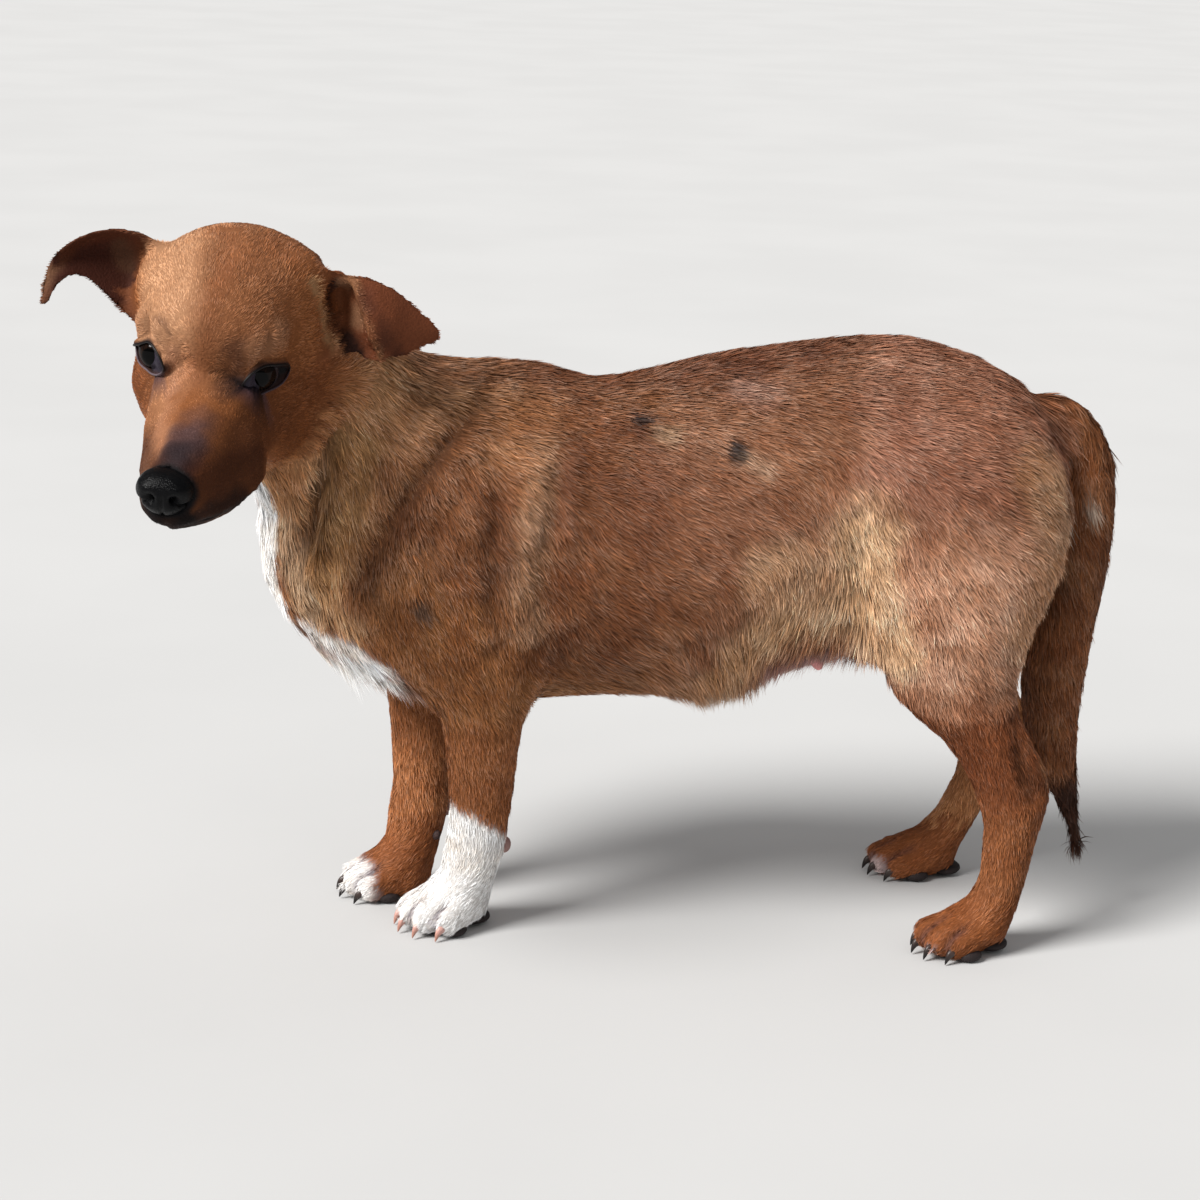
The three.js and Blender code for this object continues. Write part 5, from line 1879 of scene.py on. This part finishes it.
# ---- eyes, nose and claws ------------------------------------------------------------------------
class Face:
    """The separate pieces of the face: balls, lid rims and nose leather."""

    GAZE = {Side.LEFT: (0.95, 0.26, -0.04), Side.RIGHT: (0.93, -0.30, 0.0)}
    UPPER_RIM = (16, 11, 11)
    # The left, near eye's lower rim is darker than the right one's as painted shade; the right's is the rim's own pale
    # colour.
    LOWER_RIM = {Side.LEFT: (58, 45, 50), Side.RIGHT: (96, 82, 88)}

    def __init__(self, head: Axes) -> None:
        """Keeps the head's axes."""
        self.head = head

    def ball(self, side: Side) -> bpy.types.Object:
        """An eyeball: a sphere with a low, clear bulge round the way it looks.

        Args:
            side: Which eye.

        Returns:
            The eyeball.
        """
        eye = OPENINGS[side]
        way, faces = ball_grid(60, 72)
        polar = np.arccos(np.clip(way[:, 2], -1, 1))
        radius = eye.radius + 0.7 * (1 - ease(polar, 0.3, 0.95))
        ahead = unit(np.array(self.GAZE[side]))
        across = unit(np.cross([0, 0, 1.0], ahead))
        q = np.array(eye.centre) + (way * radius[:, None]) @ np.array([across, np.cross(ahead, across), ahead])
        piece = closed_object(f"eyeball_{side.word}", self.head.world(q), faces)
        store(piece, "polar", polar)
        store(piece, "corner", -side.value * way[:, 0])
        round_way = way[:, :2] / np.maximum(np.sin(polar), 0.05)[:, None] * 9
        store(piece, "fibre", np.concatenate([round_way, polar[:, None] * 3], 1))
        return piece

    def rim(self, side: Side) -> bpy.types.Object:
        """The lids' moist edge: an oval section carried round the opening's outline.

        Args:
            side: Which eye.

        Returns:
            The rim.
        """
        eye, count, sides = OPENINGS[side], 144, 12
        round_way = np.linspace(0, 2 * math.pi, count, endpoint=False)
        turn = eye.half * np.cos(round_way)
        above = np.sin(round_way)
        rise = np.sign(above) * eye.bound(turn, above)
        base = eye.point(turn, rise, eye.shell(turn, rise) + 0.15)
        way = unit(base - np.array(eye.centre))
        run = unit(np.roll(base, -1, 0) - np.roll(base, 1, 0))
        aside = unit(np.cross(way, run))
        angle = np.linspace(0, 2 * math.pi, sides, endpoint=False)
        wide = 0.62 + 0.25 * (above < -0.1)
        ring = (
            base[:, None]
            + (wide[:, None] * np.cos(angle))[..., None] * aside[:, None]
            + 0.5 * np.sin(angle)[None, :, None] * way[:, None]
        )
        faces = grid_faces(count + 1, sides) % (count * sides)
        piece = closed_object(f"lid_rim_{side.word}", self.head.world(ring.reshape(-1, 3)), faces)
        tone = laid_over(linear(self.UPPER_RIM), ease(-above, 0.1, 0.6), linear(self.LOWER_RIM[side]))
        set_tone(piece, np.repeat(tone, sides, axis=0))
        return piece

    def nose(self) -> bpy.types.Object:
        """Nose leather: a rounded block, narrower below, with two comma nostrils and a groove down its middle.

        Returns:
            The nose leather.
        """
        way, faces = ball_grid(90, 128)
        round_off = np.sign(way) * np.abs(way) ** 0.86
        q = round_off * [10.2, 13.8, 11.0]
        q[:, 1] *= 1 - 0.24 * ease(-q[:, 2], -2, 11)
        q[:, 0] += 0.9 * ease(q[:, 2], -6, 6) * ease(q[:, 0], 0, 8)
        across = np.abs(q[:, 1])
        front = ease(q[:, 0], 0.5, 4.0)
        pit = hill(np.hypot((across - 6.2) / 2.3, (q[:, 2] + 0.5) / 2.8), 1.0)
        slit, _ = along_line(np.stack([across, q[:, 2]], 1), np.array([[6.4, -1.0], [9.0, -3.6], [12.5, -3.2]]))
        comma = hill(slit, 1.1) * ease(q[:, 0], -3.0, 1.0)
        groove = hill(q[:, 1], 0.8) * ease(-q[:, 2], -4.0, 1.0) * front
        deep = np.maximum(4.4 * pit * front, 2.3 * comma) + 1.1 * groove
        swell = 0.9 * hill(np.hypot((across - 8.0) / 4.0, (q[:, 2] - 4.0) / 3.0), 1.0) * front
        q = q - unit(q) * (deep - swell)[:, None]
        return closed_object("nose_leather", self.head.world(q + np.array(HEAD_MARKS["nose"])), faces)


class Claws:
    """The claws: curved horns, four to a foot, in place of the frame's plain ones.

    LENGTH, RADIUS and the radius at the TIP are millimetres, as are how far a claw CURVEs down and ARCHes up on its
    way. FLATNESS is its width as a share of its height.
    """

    LENGTH = 7.8
    RADIUS = 2.35
    RINGS = 15
    SIDES = 14
    TIP, CURVE, ARCH, FLATNESS = 0.12, 2.6, 0.9, 0.72

    def __init__(self, nodes: dict) -> None:
        """Keeps the frame's nodes."""
        self.nodes = nodes

    def horn(self, node: str) -> tuple[Array, Array, Array]:
        """One claw along its node's own axis, curving down, flat-sided and pointed.

        Args:
            node: The claw's node.

        Returns:
            Points in metres, triangles, and each point's place from root 0 to tip 1.
        """
        co = merged_net(self.nodes[node]).points
        centre = co.mean(0)
        axis = np.linalg.svd(co - centre)[2][0]
        along = (co - centre) @ axis
        wide = [np.linalg.norm(co[m] - centre - along[m][:, None] * axis, axis=1).max() for m in (along < 0, along > 0)]
        axis = axis if wide[0] > wide[1] else -axis
        along = (co - centre) @ axis
        root = centre + axis * along.min()
        across = unit(np.cross(axis, [0, 0, 1.0]))
        over = np.cross(across, axis)
        t = np.linspace(0, 1, self.RINGS)[:, None]
        turn = np.linspace(0, 2 * math.pi, self.SIDES, endpoint=False)[None, :]
        size = self.RADIUS * (1 - t**1.7) ** 0.75 + self.TIP
        droop = self.CURVE * (t**1.6) - self.ARCH * np.sin(math.pi * t)
        ring = (
            root
            + (t * self.LENGTH * MM)[..., None] * axis
            - ((droop + 0 * turn) * MM)[..., None] * over
            + (self.FLATNESS * size * np.cos(turn) * MM)[..., None] * across
            + (size * np.sin(turn) * MM)[..., None] * over
        )
        points = np.concatenate([ring.reshape(-1, 3), [root - axis * 0.3 * MM], [ring[-1].mean(0) + axis * 0.2 * MM]])
        quads = grid_faces(self.RINGS, self.SIDES)
        j = np.arange(self.SIDES)
        k = (j + 1) % self.SIDES
        last, butt = (self.RINGS - 1) * self.SIDES, np.full(self.SIDES, len(points) - 2)
        ends = [np.stack([butt, k, j], 1), np.stack([butt + 1, last + j, last + k], 1)]
        faces = np.concatenate([quads[:, [0, 1, 2]], quads[:, [0, 2, 3]], *ends])
        return points, faces, np.concatenate([np.repeat(t[:, 0], self.SIDES), [0, 1]])

    def foot(self, place: str) -> bpy.types.Object:
        """The four claws of one foot as a piece.

        Args:
            place: The foot, as in fore_left.

        Returns:
            The piece.
        """
        points, faces, along, start = [], [], [], 0
        for claw in claw_nodes(place):
            p, f, t = self.horn(claw)
            points.append(p)
            faces.append(f + start)
            along.append(t)
            start += len(p)
        piece = closed_object(f"claws_{place}", np.concatenate(points), np.concatenate(faces))
        store(piece, "along", np.concatenate(along))
        return piece


@dataclass(frozen=True)
class Bump:
    """A small rounded piece of bare skin.

    Args:
        at: its middle, on body axes, or on a paw's own axes.
        half: its half sizes along those axes.
        colour: display values 0 to 255.
    """

    at: Triple
    half: Triple
    colour: Triple


BLACK_PAD = (44, 36, 36)
FORE_PADS = (
    Bump((-14.0, 0.0, 4.2), (10.0, 10.5, 4.0), BLACK_PAD),
    *(Bump((12.0, side, 3.6), (8.0, 4.6, 3.4), BLACK_PAD) for side in (5.0, -5.0)),
    *(Bump((5.0, side, 3.6), (7.0, 4.4, 3.4), BLACK_PAD) for side in (14.0, -14.0)),
)
CARPAL_PADS = (
    Bump((-49.0, 29.0, 48.0), (4.0, 4.6, 3.4), (150, 118, 112)),
    Bump((-54.0, 14.0, 38.0), (2.4, 3.0, 3.2), (60, 44, 42)),
)
TEATS = (
    Bump((111.0, 38.0, 160.0), (4.2, 4.2, 11.0), (226, 156, 154)),
    Bump((66.0, 35.0, 139.0), (2.4, 2.4, 3.4), (176, 120, 112)),
    Bump((22.0, 33.0, 130.0), (2.0, 2.0, 2.8), (150, 100, 88)),
)


class BareSkin:
    """The pads under the feet and the teats, each a small flattened ball half sunk in the skin."""

    def __init__(self, body: Axes, net: Net) -> None:
        """Keeps the body's axes and the skin."""
        self.body, self.net = body, net

    def on_skin(self, b: Bump, flip: int, ahead: float = 0.0) -> tuple[Axes, Bump]:
        """A bump moved to the skin's nearest point, mirrored if flip is -1, and turned to stand out from it.

        Args:
            b: The bump.
            flip: 1, or -1 to mirror it.
            ahead: Millimetres to move it forward.

        Returns:
            The axes on the skin, and the bump at their origin.
        """
        wanted = self.body.world(np.array([b.at[0] + ahead, b.at[1] * flip, b.at[2]]))
        near = np.linalg.norm(self.net.points - wanted, axis=1).argmin()
        out = self.net.normals()[near]
        side = unit(np.cross(out, [0.3, 0.1, 1.0]))
        axes = Axes(self.net.points[near], np.array([side, np.cross(out, side), out]))
        return axes, Bump((0, 0, 0), b.half, b.colour)

    @staticmethod
    def joined(name: str, spots: list[tuple[Axes, Bump]]) -> bpy.types.Object:
        """One piece made of the given bumps, each placed on its own axes.

        Args:
            name: The piece's name.
            spots: Each bump with its axes.

        Returns:
            The piece.
        """
        way, faces = ball_grid(11, 16)
        points = [axes.world(np.array(b.at) + way * np.array(b.half)) for axes, b in spots]
        tones = [np.tile(linear(b.colour), (len(way), 1)) for _, b in spots]
        whole = np.concatenate([faces + i * len(way) for i in range(len(spots))])
        piece = closed_object(name, np.concatenate(points), whole)
        set_tone(piece, np.concatenate(tones))
        return piece

    def pads(self) -> bpy.types.Object:
        """Heel and toe pads of all four feet, and the pads behind the wrists.

        Returns:
            The pads.
        """
        spots = []
        for node in SKIN_NODES:
            if "paw" in node:
                spots += [(paw_axes(node), b) for b in FORE_PADS]
        for flip, ahead in ((-1, 0.0), (1, -30.0)):
            spots += [self.on_skin(b, flip, ahead) for b in CARPAL_PADS]
        return self.joined("foot_pads", spots)

    def teats(self) -> bpy.types.Object:
        """Three pairs of teats, the hindmost largest."""
        return self.joined("teats", [self.on_skin(b, flip) for b in TEATS for flip in (-1, 1)])


# ---- stage ---------------------------------------------------------------------------------------
class Stage:
    """Floor, light and camera. Angles are degrees, and the focal length is in units of which PICTURE span the frame."""

    CAMERA_AT = (-0.1247, -1.4023, 0.5712)
    HEADING = 5.0
    DOWN = 15.0
    ROLL = 2.0
    SENSOR = 36.0
    FOCAL = 2790.0
    PICTURE = 1200.0
    SUN_FROM = (-0.62, -0.40, 0.68)
    SUN_WIDTH = 24.0
    SUN_STRENGTH = 5.2
    SKY = 0.52
    SHEEN = 0.16
    FLOOR = (186, 186, 186)

    @staticmethod
    def stand(name: str, data: bpy.types.ID, *columns: Array) -> bpy.types.Object:
        """Puts a lamp or camera in the scene, from its own right, up and back directions and its place.

        Args:
            name: The object's name.
            data: The lamp's or camera's data.
            *columns: The four rows of three, in that order.

        Returns:
            The object.
        """
        piece = bpy.data.objects.new(name, data)
        piece.matrix_world = Matrix(np.vstack([np.column_stack(columns), [0, 0, 0, 1]]).tolist())
        bpy.context.scene.collection.objects.link(piece)
        return piece

    def floor(self) -> None:
        """A wide pale floor."""
        reach = 30.0
        corners = np.array([[-1, -1, 0], [1, -1, 0], [1, 1, 0], [-1, 1, 0]]) * reach
        floor = make_object("floor", corners, np.array([[0, 1, 2, 3]]), smooth=False)
        finish = Finish("pale_floor", Roughness=0.95, Specular_IOR_Level=0.05)
        speckle = finish.grain(3.0).between(0.3, 0.7)
        finish.wear(Base_Color=finish.mix(speckle, rgba(self.FLOOR), rgba(tuple(c + 3 for c in self.FLOOR))))
        finish.dress(floor)

    def light(self) -> None:
        """One broad sun from the dog's front left and an even sky, which the camera sees as white."""
        data = bpy.data.lights.new("key", "SUN")
        data.angle, data.energy, data.color = math.radians(self.SUN_WIDTH), self.SUN_STRENGTH, (1.0, 0.985, 0.96)
        back = unit(np.array(self.SUN_FROM))
        side = unit(np.cross([0, 0, 1.0], back))
        self.stand("key", data, side, np.cross(back, side), back, back * 3.0)
        world = bpy.data.worlds.new("sky")
        bpy.context.scene.world = world
        world.use_nodes = True
        tree = world.node_tree
        sky = tree.nodes["Background"]
        sky.inputs["Color"].default_value = (1, 1, 1, 1)
        path = tree.nodes.new("ShaderNodeLightPath")
        steps = (("Is Glossy Ray", self.SHEEN), ("Is Camera Ray", 1.0))
        level = None
        for output, strength in steps:
            ramp = tree.nodes.new("ShaderNodeMapRange")
            ramp.inputs["To Min"].default_value = self.SKY
            ramp.inputs["To Max"].default_value = strength
            tree.links.new(path.outputs[output], ramp.inputs["Value"])
            if level is not None:
                tree.links.new(level.outputs[0], ramp.inputs["To Min"])
            level = ramp
        tree.links.new(level.outputs[0], sky.inputs["Strength"])

    def camera(self) -> None:
        """The camera, turned a little about its own axis."""
        data = bpy.data.cameras.new("camera")
        data.sensor_width = self.SENSOR
        data.lens = self.FOCAL / self.PICTURE * self.SENSOR
        heading, down = math.radians(self.HEADING), math.radians(self.DOWN)
        level = math.cos(down)
        ahead = np.array([level * math.sin(heading), level * math.cos(heading), -math.sin(down)])
        right = unit(np.cross(ahead, [0, 0, 1.0]))
        up = np.cross(right, ahead)
        r = math.radians(self.ROLL)
        right, up = right * math.cos(r) + up * math.sin(r), up * math.cos(r) - right * math.sin(r)
        bpy.context.scene.camera = self.stand("camera", data, right, up, -ahead, self.CAMERA_AT)

    def build(self) -> None:
        """Sets the whole stage."""
        self.camera()
        self.floor()
        self.light()
        bpy.context.scene.view_settings.view_transform = "Standard"


# ---- assembly ------------------------------------------------------------------------------------
def finish_piece(piece: bpy.types.Object, look: Finish, slot: str, *nodes: str) -> None:
    """Dresses a piece, hangs it on the frame, hides the nodes it stands for, and logs its size.

    Args:
        piece: The piece.
        look: Its finish.
        slot: Not used.
        *nodes: The nodes it stands for, if any.
    """
    look.dress(piece)
    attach(piece, "root")
    if nodes:
        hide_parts(*nodes)
    log.info("%s: %d points, %d faces", piece.name, len(piece.data.vertices), len(piece.data.polygons))


def main() -> None:
    """Builds the dog piece by piece."""
    logging.basicConfig(level=logging.INFO, format="%(message)s")
    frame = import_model()
    Stage().build()
    head, body = head_axes(), body_axes()
    net = Skin(head, body, frame["nodes"]).build()
    skin = make_object("skin", net.points, net.faces)
    # The skin under the coat is darkened as painted shade from the hair over it; bare skin keeps its tone.
    bare = ease(net.values["density"], 0.9, 0.1)[:, None]
    set_tone(skin, net.values["tone"] * (0.62 + 0.38 * bare))
    store(skin, "wet", net.values["wet"])
    finish_piece(skin, skin_finish(), "coat", *SKIN_NODES)
    hair = coat_finish()
    coat = Coat(net, head, body)
    for number, piece in enumerate(COAT_PIECES):
        finish_piece(coat.grow(piece, 100 + number), hair, "coat")
    face, wet, rim = Face(head), eye_finish(), rim_finish()
    for side in Side:
        finish_piece(face.ball(side), wet, "eye", f"eye_{side.word}")
        finish_piece(face.rim(side), rim, "nose_leather")
    finish_piece(face.nose(), nose_finish(), "nose_leather", "nose")
    bare_skin, leather = BareSkin(body, net), pad_finish()
    finish_piece(bare_skin.pads(), leather, "nose_leather")
    finish_piece(bare_skin.teats(), leather, "nose_leather")
    claws = Claws(frame["nodes"])
    dark = claw_finish("dark_horn", (62, 48, 44), (16, 13, 13))
    pink = claw_finish("pink_horn", (206, 160, 150), (168, 120, 104))
    for place in both_sides("fore", "hind"):
        finish_piece(claws.foot(place), pink if place == "fore_left" else dark, "claw_horn", *claw_nodes(place))


if __name__ == "__main__":
    main()
